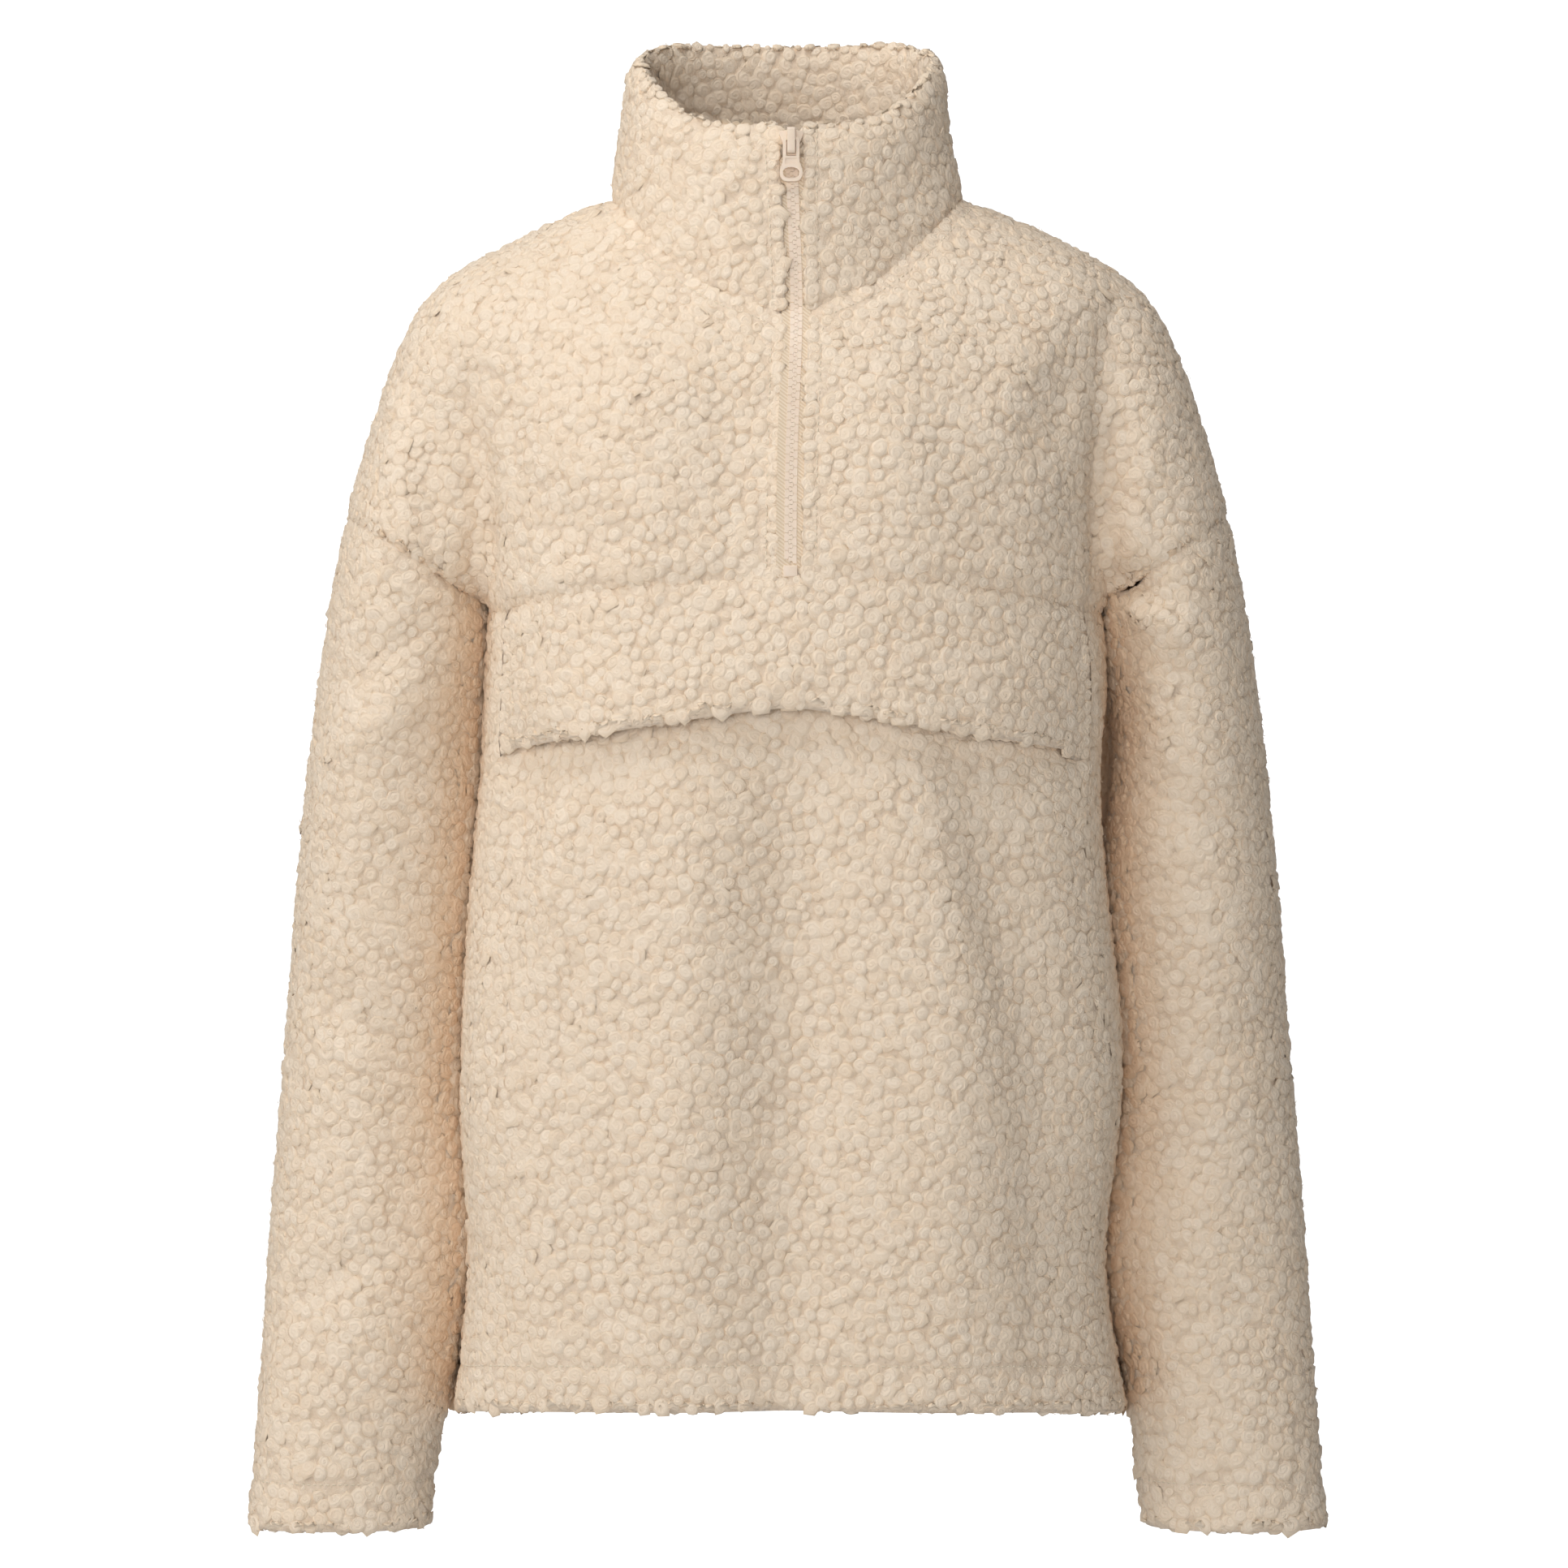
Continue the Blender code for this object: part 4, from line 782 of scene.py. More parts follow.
def fleece_material():
    material, shader = new_material("cream curly polyester fleece pile")
    place = add_node(material, "Attribute", attribute_name="curl", out="Vector")
    rise = add_node(material, "Attribute", attribute_name="rise", out="Fac")
    shade = add_node(material, "Attribute", attribute_name="shade", out="Fac")
    cloth = add_node(material, "Attribute", attribute_name="cloth", out="Vector")
    solid = add_node(material, "TexCoord", out="Object")
    local_x = add_node(material, "SeparateXYZ", {0: place}, out=0)
    local_y = add_node(material, "SeparateXYZ", {0: place}, out=1)
    number = add_node(material, "SeparateXYZ", {0: place}, out=2)
    flat = add_node(material, "CombineXYZ", {0: local_x, 1: local_y})
    radius = add_node(material, "VectorMath", {0: flat}, out="Value", operation="LENGTH")
    angle = add_node(material, "Math", {0: local_y, 1: local_x}, operation="ARCTAN2")
    turn = add_node(material, "Math", {0: angle, 1: 1 / (2 * math.pi)}, operation="MULTIPLY")
    wobble = add_node(material, "TexNoise", {"Vector": solid, "Scale": 420.0, "Detail": 2.0})
    spiral = add_node(material, "Math", {0: radius, 1: WINDINGS, 2: turn}, operation="MULTIPLY_ADD")
    spiral = add_node(material, "Math", {0: wobble, 1: 1.0, 2: spiral}, operation="MULTIPLY_ADD")
    phase = add_node(material, "Math", {0: spiral, 1: 2 * math.pi}, operation="MULTIPLY")
    wave = add_node(material, "Math", {0: phase}, operation="SINE")
    winding = add_node(material, "Math", {0: wave, 1: 0.5, 2: 0.5}, operation="MULTIPLY_ADD")
    many = add_node(material, "Math", {0: phase, 1: STRANDS}, operation="MULTIPLY")
    fibres = add_node(material, "Math", {0: many}, operation="SINE")
    fuzz = add_node(material, "TexNoise", {"Vector": solid, "Scale": 1900.0, "Detail": 3.0})
    # painted shade: the lower a point sits in its curl, and in the spiral's grooves, the nearer its colour is
    # to the tan; the fine noise adds tone at random
    depth = add_node(material, "Math", {0: rise, 1: 0.75, 2: -0.02}, operation="MULTIPLY_ADD")
    depth = add_node(material, "Math", {0: winding, 1: 0.20, 2: depth}, operation="MULTIPLY_ADD")
    depth = add_node(material, "Math", {0: fuzz, 1: 0.30, 2: depth}, operation="MULTIPLY_ADD")
    tip = add_node(material, "Mix", {0: number, 6: TIP, 7: WARM_TIP}, out=2, data_type="RGBA")
    colour = add_node(material, "Mix", {0: depth, 6: PAINTED_SHADE_TAN, 7: tip}, out=2, data_type="RGBA")
    warm = {0: shade, 6: colour, 7: BOUNCED}
    add_node(material, "Mix", warm, out=2, to=(shader, "Base Color"), data_type="RGBA", blend_type="MULTIPLY")
    shader.inputs["Roughness"].default_value = 0.95
    shader.inputs["Specular IOR Level"].default_value = 0.15
    shader.inputs["Sheen Weight"].default_value = 0.2
    shader.inputs["Sheen Roughness"].default_value = 0.45
    shader.inputs["Sheen Tint"].default_value = linear("#F6EEE2")
    normal = add_node(material, "Bump", {"Height": winding, "Distance": 0.55 * MM, "Strength": 0.9})
    fine = {"Height": fibres, "Distance": 0.09 * MM, "Strength": 0.7, "Normal": normal}
    normal = add_node(material, "Bump", fine)
    hairy = {"Height": fuzz, "Distance": 0.22 * MM, "Strength": 0.8, "Normal": normal}
    normal = add_node(material, "Bump", hairy)
    settings = {"vector_type": "NORMAL", "convert_from": "OBJECT", "convert_to": "WORLD"}
    soft = add_node(material, "VectorTransform", {0: cloth}, **settings)
    face = add_node(material, "NewGeometry", out="True Normal")
    same_way = add_node(material, "VectorMath", {0: face, 1: soft}, out="Value", operation="DOT_PRODUCT")
    share = add_node(material, "MapRange", {"Value": same_way, "From Max": 0.7, "To Max": CLOTH_SHARE})
    normal = add_node(material, "Mix", {"Factor": share, 4: normal, 5: soft}, out=1, data_type="VECTOR")
    under = add_node(material, "MapRange", {"Value": same_way, "From Min": -0.1, "From Max": -0.5})
    normal = add_node(material, "Mix", {"Factor": under, 4: normal, 5: face}, out=1, data_type="VECTOR")
    add_node(material, "VectorMath", {0: normal}, to=(shader, "Normal"), operation="NORMALIZE")
    return material


def backing_material():
    """The knitted backing: deep between the curls, brushed on the inside; its tan, darker than the curls'
    tips, is painted shade for the gaps between them.
    """
    material, shader = new_material("brushed cream fleece backing")
    solid = add_node(material, "TexCoord", out="Object")
    soft = add_node(material, "TexNoise", {"Vector": solid, "Scale": 900.0, "Detail": 4.0})
    loops = add_node(material, "TexVoronoi", {"Vector": solid, "Scale": 230.0})
    # painted shade: tans darker than the pile, for the gaps between curls where the backing shows; the noise
    # and the loops add tone at random
    mixed = {0: soft, 6: linear("#DAC1A4"), 7: linear("#EAD5BE")}
    light = add_node(material, "Mix", mixed, out=2, data_type="RGBA")
    mixed = {0: loops, 6: linear("#EFDDC8"), 7: light}
    add_node(material, "Mix", mixed, out=2, to=(shader, "Base Color"), data_type="RGBA")
    shader.inputs["Roughness"].default_value = 1.0
    shader.inputs["Sheen Weight"].default_value = 0.2
    normal = add_node(material, "Bump", {"Height": loops, "Distance": -1.2 * MM, "Strength": 0.8})
    brushed = {"Height": soft, "Distance": 0.5 * MM, "Normal": normal}
    add_node(material, "Bump", brushed, to=(shader, "Normal"))
    return material


fleece, backing = fleece_material(), backing_material()

# %% [markdown]
# ## The cloth pieces
#
# Each panel is its shell, which stands for the solid, and its curls, which ride on the
# shell. The back has so many that they are two meshes.

# %% Panels
shells, curl_count = {}, 0
for node in CLOTH_NODES:
    shell = add_piece("shell_" + node, shell_mesh("shell_" + node, node), backing)
    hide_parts(node)
    shells[node] = shell
    at, facing = scattered(node)
    clear = np.array([free_edges[node].find(place)[2] > EDGE_CLEAR for place in at])
    at, facing = at[clear], facing[clear]
    at = moved_off(at, facing, stitched, STITCH_CLEAR)
    at = moved_off(at, facing, seams[node], SEAM_CLEAR)
    edge_at, edge_facing = on_edges(node)
    press = np.concatenate([pressed(node, at), np.full(len(edge_at), 0.3)])
    at, facing = np.concatenate([at, edge_at]), np.concatenate([facing, edge_facing])
    bend, shade = bend_at(node, at, facing), enclosed(at, facing) * (1.0 if node == "collar" else 0.25)
    bend[len(bend) - len(edge_at) :] = 0.25
    halves = [np.ones(len(at), bool)] if node != "back" else [at[:, 2] > -0.3, at[:, 2] <= -0.3]
    for half, word in zip(halves, ("", "_low")):
        name = "curls_" + node + word
        mesh = curls_mesh(name, at[half], facing[half], press[half], bend[half], shade[half])
        add_piece(name, mesh, fleece)
        curl_count += half.sum()
        print(name, half.sum(), "curls,", len(mesh.polygons), "triangles")
print(curl_count, "curls in all")

# %% [markdown]
# ## Thread
#
# Each stitch is a short thick loop of thread that comes up, lies on the cloth and goes
# down again. A stitch is a tube with pinched ends; a row of them is laid along each
# line that was set on the cloth above.

# %% Stitches
STITCH_PITCH = 3.3 * MM
STITCH_LENGTH = 2.5 * MM
THREAD_RADIUS = 0.42 * MM
THREAD_LIFT = -1.15 * MM  # under the tips of the pile


def tubes_mesh(name, middles, alongs, ups, length, radius, sides=4):
    """Short tubes that arch a little and sink at both ends, as one mesh."""
    sections = [(-0.5, 0.45, -0.9), (-0.3, 1.0, 0.2), (0.3, 1.0, 0.2), (0.5, 0.45, -0.9)]
    ring = [(math.cos(2 * math.pi * i / sides), math.sin(2 * math.pi * i / sides)) for i in range(sides)]
    points = []
    for share, size, rise in sections:
        for c, s in ring:
            points.append((share * length, c * size * radius, (s * size + rise) * radius))
    template = np.array(points)
    faces = []
    for k in range(len(sections) - 1):
        for i in range(sides):
            j, low, high = (i + 1) % sides, k * sides, (k + 1) * sides
            faces.append((low + i, low + j, high + j, high + i))
    count, size = len(middles), len(template)
    sideways = np.cross(ups, alongs)
    placed = middles[:, None, :] + template[None, :, 0:1] * alongs[:, None, :]
    placed = placed + template[None, :, 1:2] * sideways[:, None, :] + template[None, :, 2:3] * ups[:, None, :]
    every = (np.array(faces)[None, :, :] + (np.arange(count) * size)[:, None, None]).reshape(-1, 4)
    return joined_mesh(name, placed.reshape(-1, 3), every)


def thread_material():
    material, shader = new_material("cream spun polyester thread")
    solid = add_node(material, "TexCoord", out="Object")
    fibre = add_node(material, "TexNoise", {"Vector": solid, "Scale": 2600.0, "Detail": 2.0})
    mixed = {0: fibre, 6: linear("#E0CDAF"), 7: linear("#F3E9D9")}
    add_node(material, "Mix", mixed, out=2, to=(shader, "Base Color"), data_type="RGBA")
    shader.inputs["Roughness"].default_value = 0.6
    add_node(material, "Bump", {"Height": fibre, "Distance": 0.1 * MM}, to=(shader, "Normal"))
    return material


middles, alongs, ups = [], [], []
for line, normals in stitch_rows:
    step = int(round(STITCH_PITCH / (1.0 * MM)))
    at = np.arange(0, len(line) - step, STITCH_PITCH / (1.0 * MM))
    place = np.stack([np.interp(at, np.arange(len(line)), line[:, i]) for i in range(3)], 1)
    after = np.stack([np.interp(at + 1, np.arange(len(line)), line[:, i]) for i in range(3)], 1)
    up = unit(np.stack([np.interp(at, np.arange(len(line)), normals[:, i]) for i in range(3)], 1))
    along = unit(after - place)
    along = unit(along - up * (along * up).sum(1)[:, None])
    middles.append(place + up * THREAD_LIFT)
    alongs.append(along)
    ups.append(up)
thread = thread_material()
rows = [np.concatenate(values) for values in (middles, alongs, ups)]
mesh = tubes_mesh("topstitching", *rows, STITCH_LENGTH, THREAD_RADIUS)
add_piece("topstitching", mesh, thread)
print(sum(len(m) for m in middles), "stitches")

# %% [markdown]
# ## The zip
#
# The zip is closed up to its slider. Two woven tapes lie between the fleece edges, and
# each carries a row of moulded teeth. A tooth is a flat block with a waist and a round
# head. It nearly touches its neighbours, and the two rows stand half a pitch apart, so
# the heads of one lie in the waists of the other and a thin line between them winds.

# %% Zip path
TOOTH_PITCH = 4.4 * MM
TOOTH_DEPTH = 2.7 * MM
TAPE_DEPTH = 0.4 * MM  # under the fronts of the teeth
TAPE_THICKNESS = 0.7 * MM


def zip_path(low, high, count):
    """Points on the chain's front, from low to high, with the way up the zip and the way out of it."""
    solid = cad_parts["zip_chain"].data
    chain = BVHTree.FromPolygons([v.co for v in solid.vertices], [tuple(p.vertices) for p in solid.polygons])
    at = []
    for z in np.linspace(low, high, count):
        hit = chain.ray_cast(Vector((float(zip_x(z)), -1.0, float(z))), Vector((0, 1, 0)))[0]
        at.append((float(zip_x(z)), hit.y if hit else np.nan, z))
    at = np.array(at)
    known = ~np.isnan(at[:, 1])
    line = np.polyfit(at[known][:12, 2], at[known][:12, 1], 1)
    at[:, 1] = np.where(known, at[:, 1], np.polyval(line, at[:, 2]))
    kernel = np.ones(9) / 9
    at[4:-4, 1] = np.convolve(at[:, 1], kernel, "valid")
    up = unit(np.gradient(at, axis=0))
    out = unit(np.cross(up, np.array([1.0, 0, 0])) * np.array([1, 1, 1]))
    out *= -np.sign(out[:, 1:2])
    return at, up, out


chain_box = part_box("zip_chain")
slider_place = Matrix.Translation((1.91 * MM, -80.89 * MM, 25.22 * MM)) @ Matrix.Rotation(-0.108, 4, "X")
zip_low, zip_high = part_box("zip_bottom_stop")[0].z, chain_box[1].z
path, path_up, path_out = zip_path(zip_low, zip_high, 420)
path_length = np.concatenate([[0], np.cumsum(np.linalg.norm(np.diff(path, axis=0), axis=1))])


def on_path(at):
    """Point, way up and way out at lengths along the zip."""
    return [
        np.stack([np.interp(at, path_length, values[:, i]) for i in range(3)], 1)
        for values in (path, path_up, path_out)
    ]


# %% Teeth
TOOTH = [  # half of the outline, from the tape to the head: across the zip, along it (mm)
    (3.10, 2.12),
    (1.32, 2.12),
    (1.16, 1.62),
    (0.92, 1.10),
    (0.55, 0.80),
    (0.15, 0.86),
    (-0.20, 1.12),
    (-0.50, 1.27),
    (-0.84, 1.08),
    (-1.06, 0.62),
    (-1.13, 0.20),
]


def teeth_mesh(name):
    outline = np.array(TOOTH + [(x, -z) for x, z in reversed(TOOTH)]) * MM
    count = len(outline)
    middle = outline.mean(0)
    layers = [(0.965, 0.0), (0.99, 0.06 * MM), (1.0, 0.2 * MM), (1.0, TOOTH_DEPTH)]
    template = np.concatenate(
        [
            np.column_stack([middle + (outline - middle) * size, np.full(count, depth)])
            for size, depth in layers
        ]
    )
    faces = []
    for k in range(len(layers) - 1):
        for i in range(count):
            j, near, far = (i + 1) % count, k * count, (k + 1) * count
            faces.append((near + j, near + i, far + i, far + j))
    half = count // 2
    for i in range(half - 1):  # the front, in strips across the tooth
        faces.append((i, i + 1, count - 2 - i, count - 1 - i))
    all_points, all_faces = [], []
    for side in (-1, 1):
        at = np.arange(9.0 * MM + (side > 0) * TOOTH_PITCH / 2, path_length[-1] - 0.6 * MM, TOOTH_PITCH)
        place, up, out = on_path(at)
        across = np.cross(up, -out) * side
        points = place[:, None, :] + template[None, :, 0:1] * across[:, None, :]
        points = points + template[None, :, 1:2] * up[:, None, :] - template[None, :, 2:3] * out[:, None, :]
        start = sum(len(p) for p in all_points)
        every = np.array(faces) if side < 0 else np.array(faces)[:, ::-1]
        all_points.append(points.reshape(-1, 3))
        first = (np.arange(len(at)) * len(template))[:, None, None]
        all_faces.append((every[None] + first + start).reshape(-1, 4))
    return joined_mesh(name, np.concatenate(all_points), np.concatenate(all_faces), smooth=False)


def strip_mesh(name, left, right, depth, thickness):
    """A flat band along the zip, closed all round."""
    columns = np.array([left, right])
    near = path[:, None, :] + columns[None, :, None] * np.array([1.0, 0, 0]) - (path_out * depth)[:, None, :]
    far = near - (path_out * thickness)[:, None, :]
    points = np.concatenate([near, far[:, ::-1]], axis=1).reshape(-1, 3)
    faces = []
    for k in range(len(path) - 1):
        for i in range(4):
            j = (i + 1) % 4
            faces.append((4 * k + i, 4 * k + j, 4 * k + 4 + j, 4 * k + 4 + i))
    last = 4 * (len(path) - 1)
    faces += [(3, 2, 1, 0), (last, last + 1, last + 2, last + 3)]
    return joined_mesh(name, points, np.array(faces), smooth=False)


def plastic_material():
    material, shader = new_material("semi-matt beige moulded acetal")
    solid = add_node(material, "TexCoord", out="Object")
    cloudy = add_node(material, "TexNoise", {"Vector": solid, "Scale": 160.0, "Detail": 2.0})
    grain = add_node(material, "TexNoise", {"Vector": solid, "Scale": 3200.0, "Detail": 2.0})
    mixed = {0: cloudy, 6: linear("#EAD4BD"), 7: linear("#F4E2CF")}
    add_node(material, "Mix", mixed, out=2, to=(shader, "Base Color"), data_type="RGBA")
    rough = {0: grain, 1: 0.15, 2: 0.32}
    add_node(material, "Math", rough, to=(shader, "Roughness"), operation="MULTIPLY_ADD")
    shader.inputs["IOR"].default_value = 1.48
    shader.inputs["Subsurface Weight"].default_value = 0.08
    shader.inputs["Subsurface Radius"].default_value = (1.2 * MM, 0.7 * MM, 0.4 * MM)
    add_node(material, "Bump", {"Height": grain, "Distance": 0.03 * MM}, to=(shader, "Normal"))
    return material


def tape_material():
    material, shader = new_material("beige woven twill zip tape")
    solid = add_node(material, "TexCoord", out="Object")
    slant = add_node(material, "Mapping", {"Vector": solid, "Rotation": (0, math.radians(52), 0)})
    twill = add_node(material, "TexWave", {"Vector": slant, "Scale": 210.0, "Distortion": 0.6}, out=1)
    threads = add_node(material, "TexNoise", {"Vector": solid, "Scale": 2400.0, "Detail": 2.0})
    mixed = {0: twill, 6: linear("#DCC4A6"), 7: linear("#EEDCC5")}
    add_node(material, "Mix", mixed, out=2, to=(shader, "Base Color"), data_type="RGBA")
    shader.inputs["Roughness"].default_value = 0.85
    height = add_node(material, "Math", {0: threads, 1: 0.4, 2: twill}, operation="MULTIPLY_ADD")
    add_node(material, "Bump", {"Height": height, "Distance": 0.12 * MM}, to=(shader, "Normal"))
    return material


plastic, tape = plastic_material(), tape_material()
teeth = add_piece("zip_teeth", teeth_mesh("zip_teeth"), plastic)
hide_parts("zip_chain")
for side, word in ((-1, "left"), (1, "right")):
    left, right = sorted((side * 0.1 * MM, side * 7.2 * MM))
    band = strip_mesh("tape_" + word, left, right, TAPE_DEPTH, TAPE_THICKNESS)
    band = add_piece("tape_" + word, band, tape)
    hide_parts("zip_tape_" + word)
print(len(teeth.data.polygons), "faces of teeth")

# %% [markdown]
# ## Stop, slider and pull
#
# These are small mouldings. Each starts as a flat outline with depth, is cut where it
# has a hole, and gets its edges rounded by a bevel. The pull hangs on the slider's
# bridge by its top bar, and it rides on its own body, so that it can swing.


# %% Mouldings
def plate(name, outline, near, far, place, upright=True):
    """A plate with this outline: in X and Z between two depths, or in Y and Z between two widths."""
    bm = bmesh.new()
    corners = [(x, near, z) if upright else (near, x, z) for x, z in outline]
    face = bm.faces.new([bm.verts.new(Vector(c) * MM) for c in corners])
    made = bmesh.ops.extrude_face_region(bm, geom=[face], use_keep_orig=True)
    moved = [v for v in made["geom"] if isinstance(v, bmesh.types.BMVert)]
    way = Vector((0, far - near, 0)) if upright else Vector((far - near, 0, 0))
    bmesh.ops.translate(bm, verts=moved, vec=way * MM)
    bmesh.ops.recalc_face_normals(bm, faces=bm.faces)
    bm.transform(place)
    mesh = bpy.data.meshes.new(name)
    bm.to_mesh(mesh)
    bm.free()
    piece = bpy.data.objects.new(name, mesh)
    bpy.context.scene.collection.objects.link(piece)
    return piece


def oval(middle_z, half_width, half_height, count, power=2.0):
    """An oval that is squarer the more its power is over 2."""
    shape = []
    for i in range(count):
        c, s = math.cos(2 * math.pi * i / count), math.sin(2 * math.pi * i / count)
        across = half_width * math.copysign(abs(c) ** (2 / power), c)
        shape.append((across, middle_z + half_height * math.copysign(abs(s) ** (2 / power), s)))
    return shape


def moulded(name, base, cuts, joins, round_by, body, segments=3):
    """Joins and cuts plates, rounds the edges, and keeps the result as one piece."""
    for operation, others in (("UNION", joins), ("DIFFERENCE", cuts)):
        for other in others:
            step = base.modifiers.new(operation, "BOOLEAN")
            step.operation, step.object, step.solver = operation, other, "EXACT"
    bevel = base.modifiers.new("Round", "BEVEL")
    bevel.width, bevel.segments, bevel.limit_method = round_by * MM, segments, "ANGLE"
    bevel.angle_limit = math.radians(35)
    mesh = bpy.data.meshes.new_from_object(base.evaluated_get(bpy.context.evaluated_depsgraph_get()))
    for other in [base, *cuts, *joins]:
        bpy.data.objects.remove(other)
    mesh.name = name
    mesh.shade_smooth()
    mesh.set_sharp_from_angle(angle=math.radians(50))
    return add_piece(name, mesh, plastic, body=body)


def mirrored(half):
    return half + [(-x, z) for x, z in reversed(half)]


SLIDER_HALF = [(4.0, -8.2), (4.0, -2.6), (4.6, -1.0), (6.1, 2.6), (6.1, 3.9), (5.2, 4.5)]
SLIDER_HALF += [(3.7, 4.3), (1.6, 5.2)]
slider_plate = plate("slider", mirrored(SLIDER_HALF), 1.25, 7.3, slider_place)
mouths = [
    plate("mouth", mirrored([(7, 2.4), (7, 4.6)]), 3.2, 5.7, slider_place),
    plate("throat", mirrored([(3.3, -9), (3.3, 6)]), 3.2, 5.7, slider_place),
]
slider = moulded("slider_body", slider_plate, mouths, [], 0.55, "garment")
ARCH = [(1.9, -7.6), (-1.2, -7.6), (-2.0, -7.0), (-2.35, -6.0), (-2.4, -3.0), (-2.5, 1.0)]
ARCH += [(-2.75, 3.2), (-2.5, 5.0), (-1.4, 5.9), (1.9, 5.6)]
arch = plate("bridge", ARCH, -2.05, 2.05, slider_place, upright=False)
SLOT = [(1.24, -6.2), (-0.95, -6.2), (-1.3, -5.6), (-1.3, 2.2), (-0.95, 2.8), (1.24, 2.8)]
slot = plate("slot", SLOT, -3, 3, slider_place, upright=False)
moulded("slider_bridge", arch, [slot], [], 0.35, "garment")
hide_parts("zip_slider")

PULL_HALF = [(2.6, 1.0), (3.7, 0.85), (4.2, 0.3), (4.2, -11.4), (4.5, -12.8), (5.3, -14.8)]
PULL_HALF += [(5.75, -16.6), (5.75, -18.0), (5.4, -19.7), (4.6, -21.0), (3.2, -21.8), (1.4, -22.0)]
pull_plate = plate("pull", mirrored(PULL_HALF), -0.85, 0.85, slider_place)
window = plate("window", mirrored([(2.5, -8.9), (2.5, -0.85)]), -2, 2, slider_place)
ring_hole = plate("ring", oval(-17.6, 4.1, 2.85, 28, 2.3), -2, 2, slider_place)
panel = plate("panel", mirrored([(2.9, -13.3), (2.9, -10.2)]), -2, -0.5, slider_place)
pull = moulded("pull_tab", pull_plate, [window, ring_hole, panel], [], 0.28, "pull")
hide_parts("zip_pull")
stop_place = Matrix.Translation(Vector(path[0] + path_out[0] * 0.5 * MM))
stop_lean = Matrix.Rotation(math.atan2(path_up[20][1], path_up[20][2]) * -1, 4, "X")
stop_plate = plate("stop", mirrored([(3.6, 0.2), (3.6, 6.0)]), 0.0, 3.2, stop_place @ stop_lean)
stop = moulded("bottom_stop", stop_plate, [], [], 0.6, "garment")
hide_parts("zip_bottom_stop")

# %% [markdown]
# ## What each panel was cut to
#
# For each shell, the table lists the size of the piece that shows: its width and length
# laid flat, and its area, because no panel is a plain rectangle.

# %% Flat sizes
CUTS = {  # width, length and area, metres: what shows of each panel, all round on a tube
    "back": (0.52, 0.64, 0.279),
    "front_lower": (0.50, 0.43, 0.208),
    "front_upper_left": (0.25, 0.24, 0.050),
    "front_upper_right": (0.25, 0.24, 0.050),
    "pocket_flap": (0.33, 0.088, 0.0235),
    "sleeve_left": (0.34, 0.53, 0.161),
    "sleeve_right": (0.34, 0.53, 0.158),
    "collar": (0.50, 0.17, 0.075),
}
for node, (width, length, area) in CUTS.items():
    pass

# %% [markdown]
# ## Light and camera
#
# A pale floor runs up into a wall all round. Two large soft lights stand on the viewer's
# left, so the right side stays in soft shade. One in front and one above fill the
# creases, and the white paper throws some of the light back.

# %% Stage
ROOM_GLOW = 0.06  # light from all round
world = bpy.data.worlds.new("soft room")
bpy.context.scene.world = world
world.use_nodes = True
world.node_tree.nodes["Background"].inputs["Color"].default_value = linear("#FFFDFA")
world.node_tree.nodes["Background"].inputs["Strength"].default_value = ROOM_GLOW


THROWN_BACK = 0.45  # of the light that the paper shows


def stage_material():
    """Paper that looks white all over to the eye, and throws an even soft light on the garment."""
    material, shader = new_material("matt white paper backdrop")
    solid = add_node(material, "TexCoord", out="Object")
    paper = add_node(material, "TexNoise", {"Vector": solid, "Scale": 40.0, "Detail": 3.0})
    mixed = {0: paper, 6: linear("#FAFAFA"), 7: linear("#FFFFFF")}
    colour = add_node(material, "Mix", mixed, out=2, to=(shader, "Base Color"), data_type="RGBA")
    material.node_tree.links.new(colour, shader.inputs["Emission Color"])
    reach = add_node(material, "VectorMath", {0: solid}, out="Value", operation="LENGTH")
    glow = {"Value": reach, "From Min": 0.6, "From Max": 2.0, "To Min": 0.7, "To Max": 1.0}
    add_node(material, "MapRange", glow, to=(shader, "Emission Strength"))
    shader.inputs["Roughness"].default_value = 0.9
    thrown = add_node(material, "Emission", {"Color": colour, "Strength": THROWN_BACK})
    seen = add_node(material, "LightPath", out="Is Camera Ray")
    surface = (material.node_tree.nodes["Material Output"], "Surface")
    add_node(material, "MixShader", {0: seen, 1: thrown, 2: shader.outputs["BSDF"]}, to=surface)
    return material


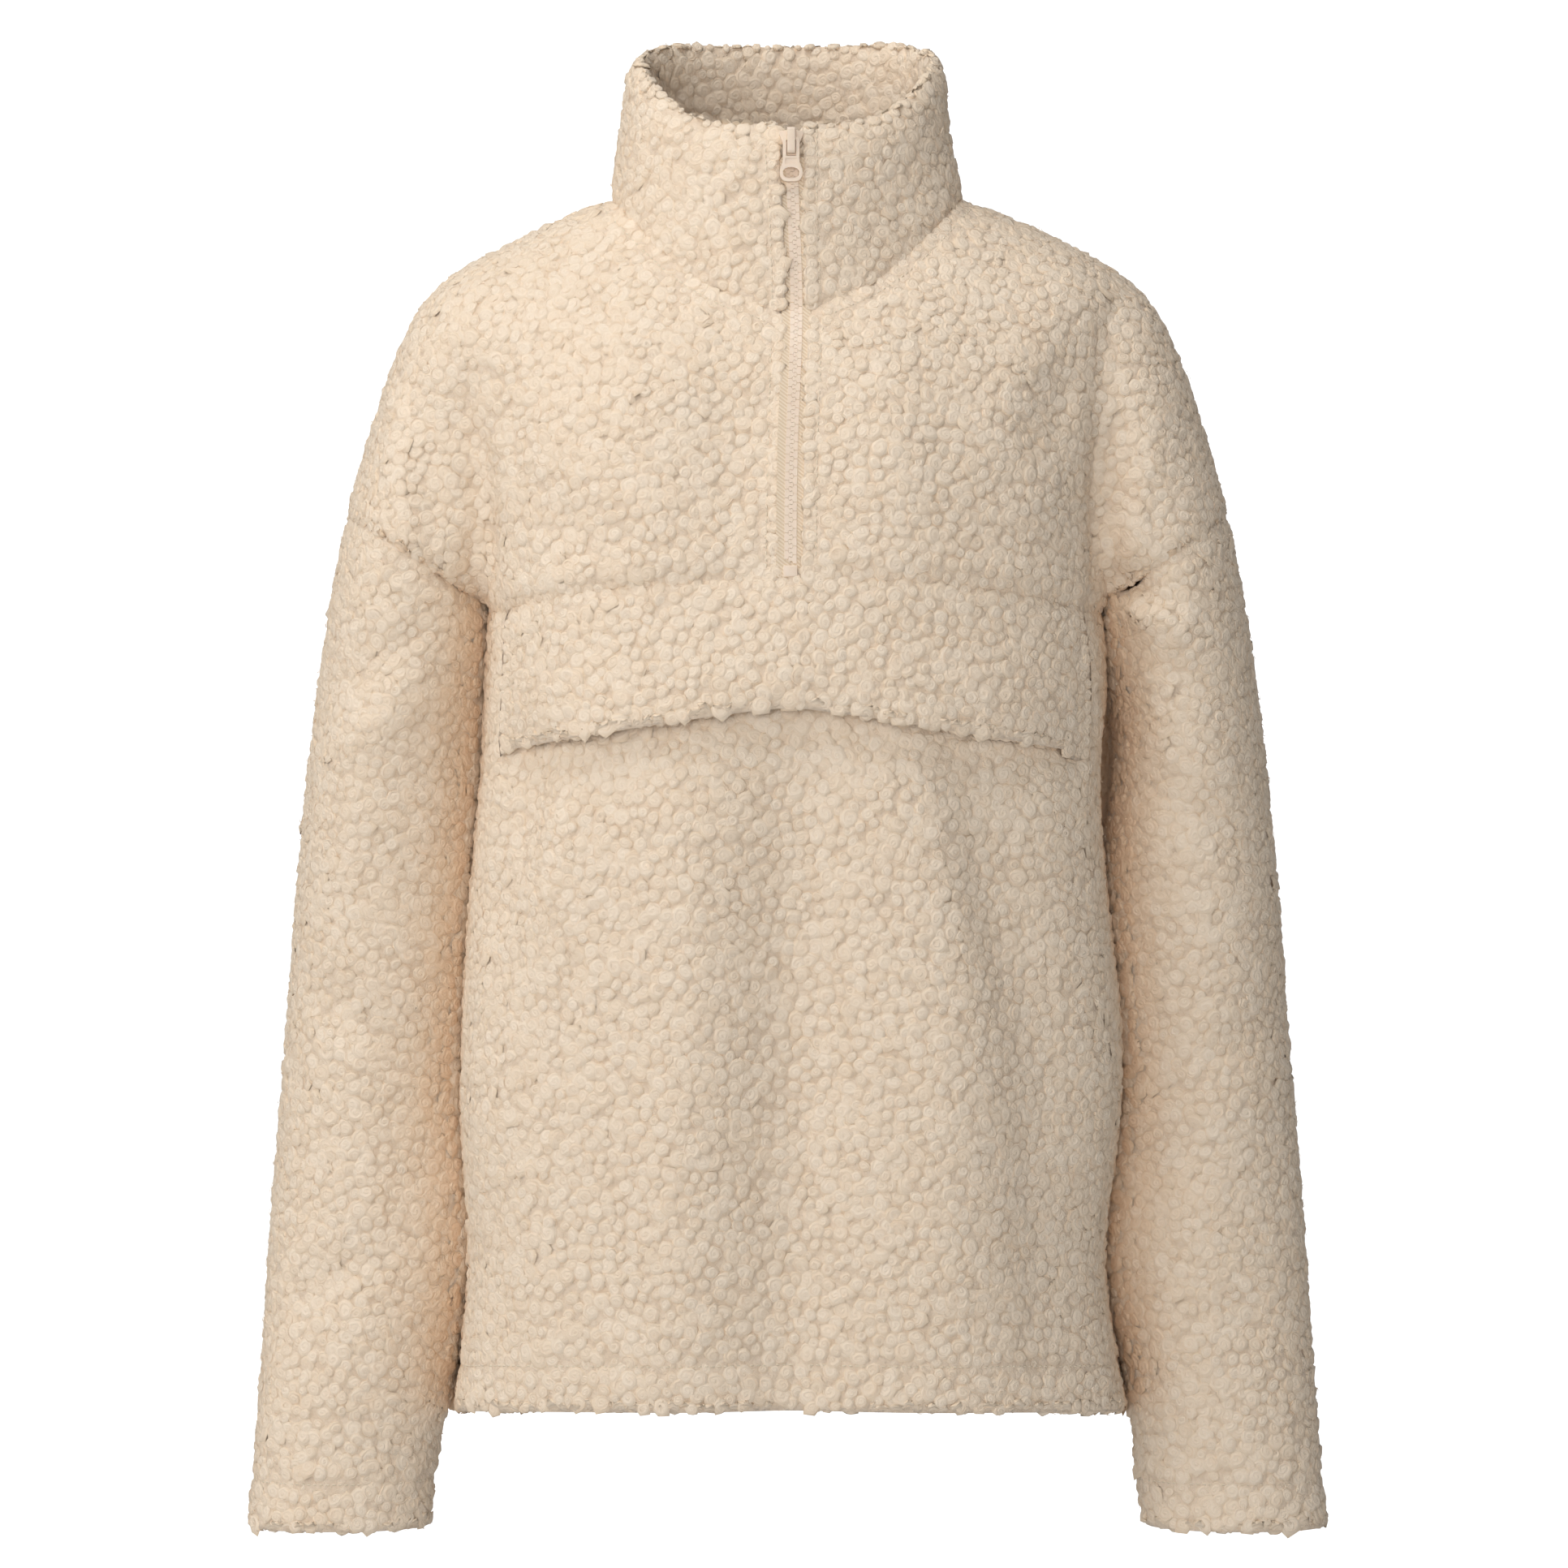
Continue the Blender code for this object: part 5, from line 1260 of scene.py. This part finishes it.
FLOOR_Z, FLOOR_REACH, CORNER = -0.80, 7.6, 1.4
WALL_TOP, AROUND = 1.9, 64
profile = [(0.0001, FLOOR_Z), (1.5, FLOOR_Z), (4.0, FLOOR_Z), (FLOOR_REACH, FLOOR_Z)]
for a in np.linspace(0.1, math.pi / 2, 12):
    profile.append((FLOOR_REACH + CORNER * math.sin(a), FLOOR_Z + CORNER * (1 - math.cos(a))))
profile.append((FLOOR_REACH + CORNER, WALL_TOP))
turns = np.linspace(0, 2 * math.pi, AROUND, endpoint=False)
sweep = np.array([(r * math.cos(a), r * math.sin(a), z) for r, z in profile for a in turns])
rows = []
for i in range(len(profile) - 1):
    for k in range(AROUND):
        low, high, after = AROUND * i, AROUND * (i + 1), (k + 1) % AROUND
        rows.append((low + k, high + k, high + after, low + after))
backdrop = bpy.data.objects.new("backdrop", joined_mesh("backdrop", sweep, np.array(rows)))
bpy.context.scene.collection.objects.link(backdrop)
backdrop.data.materials.append(stage_material())


def soft_light(name, place, aim, size, power, colour="#FFFFFF"):
    light = bpy.data.lights.new(name, "AREA")
    light.shape, light.size, light.energy = "DISK", size, power
    light.color = linear(colour)[:3]
    lamp = bpy.data.objects.new(name, light)
    bpy.context.scene.collection.objects.link(lamp)
    lamp.location = place
    lamp.rotation_euler = (Vector(aim) - Vector(place)).to_track_quat("-Z", "Y").to_euler()
    return lamp


soft_light("key", (-2.4, -2.2, 0.8), (0, 0, -0.3), 2.0, 18, "#FFFCF8")
soft_light("side", (-3.0, -0.9, 0.8), (0, 0, -0.3), 2.4, 18, "#FFFCF8")
soft_light("front", (-0.5, -3.4, -0.1), (0, 0, -0.35), 2.0, 39)
soft_light("top", (-0.3, -0.8, 2.4), (0, 0, -0.2), 2.0, 38)

camera = bpy.data.cameras.new("camera")
camera.sensor_width, camera.lens = 36, 133
viewer = bpy.data.objects.new("camera", camera)
bpy.context.scene.collection.objects.link(viewer)
viewer.location = (-1.7 * MM, -3.0, -0.30)
viewer.rotation_euler = (math.pi / 2, 0, 0)
bpy.context.scene.camera = viewer
bpy.context.scene.view_settings.view_transform = "Standard"
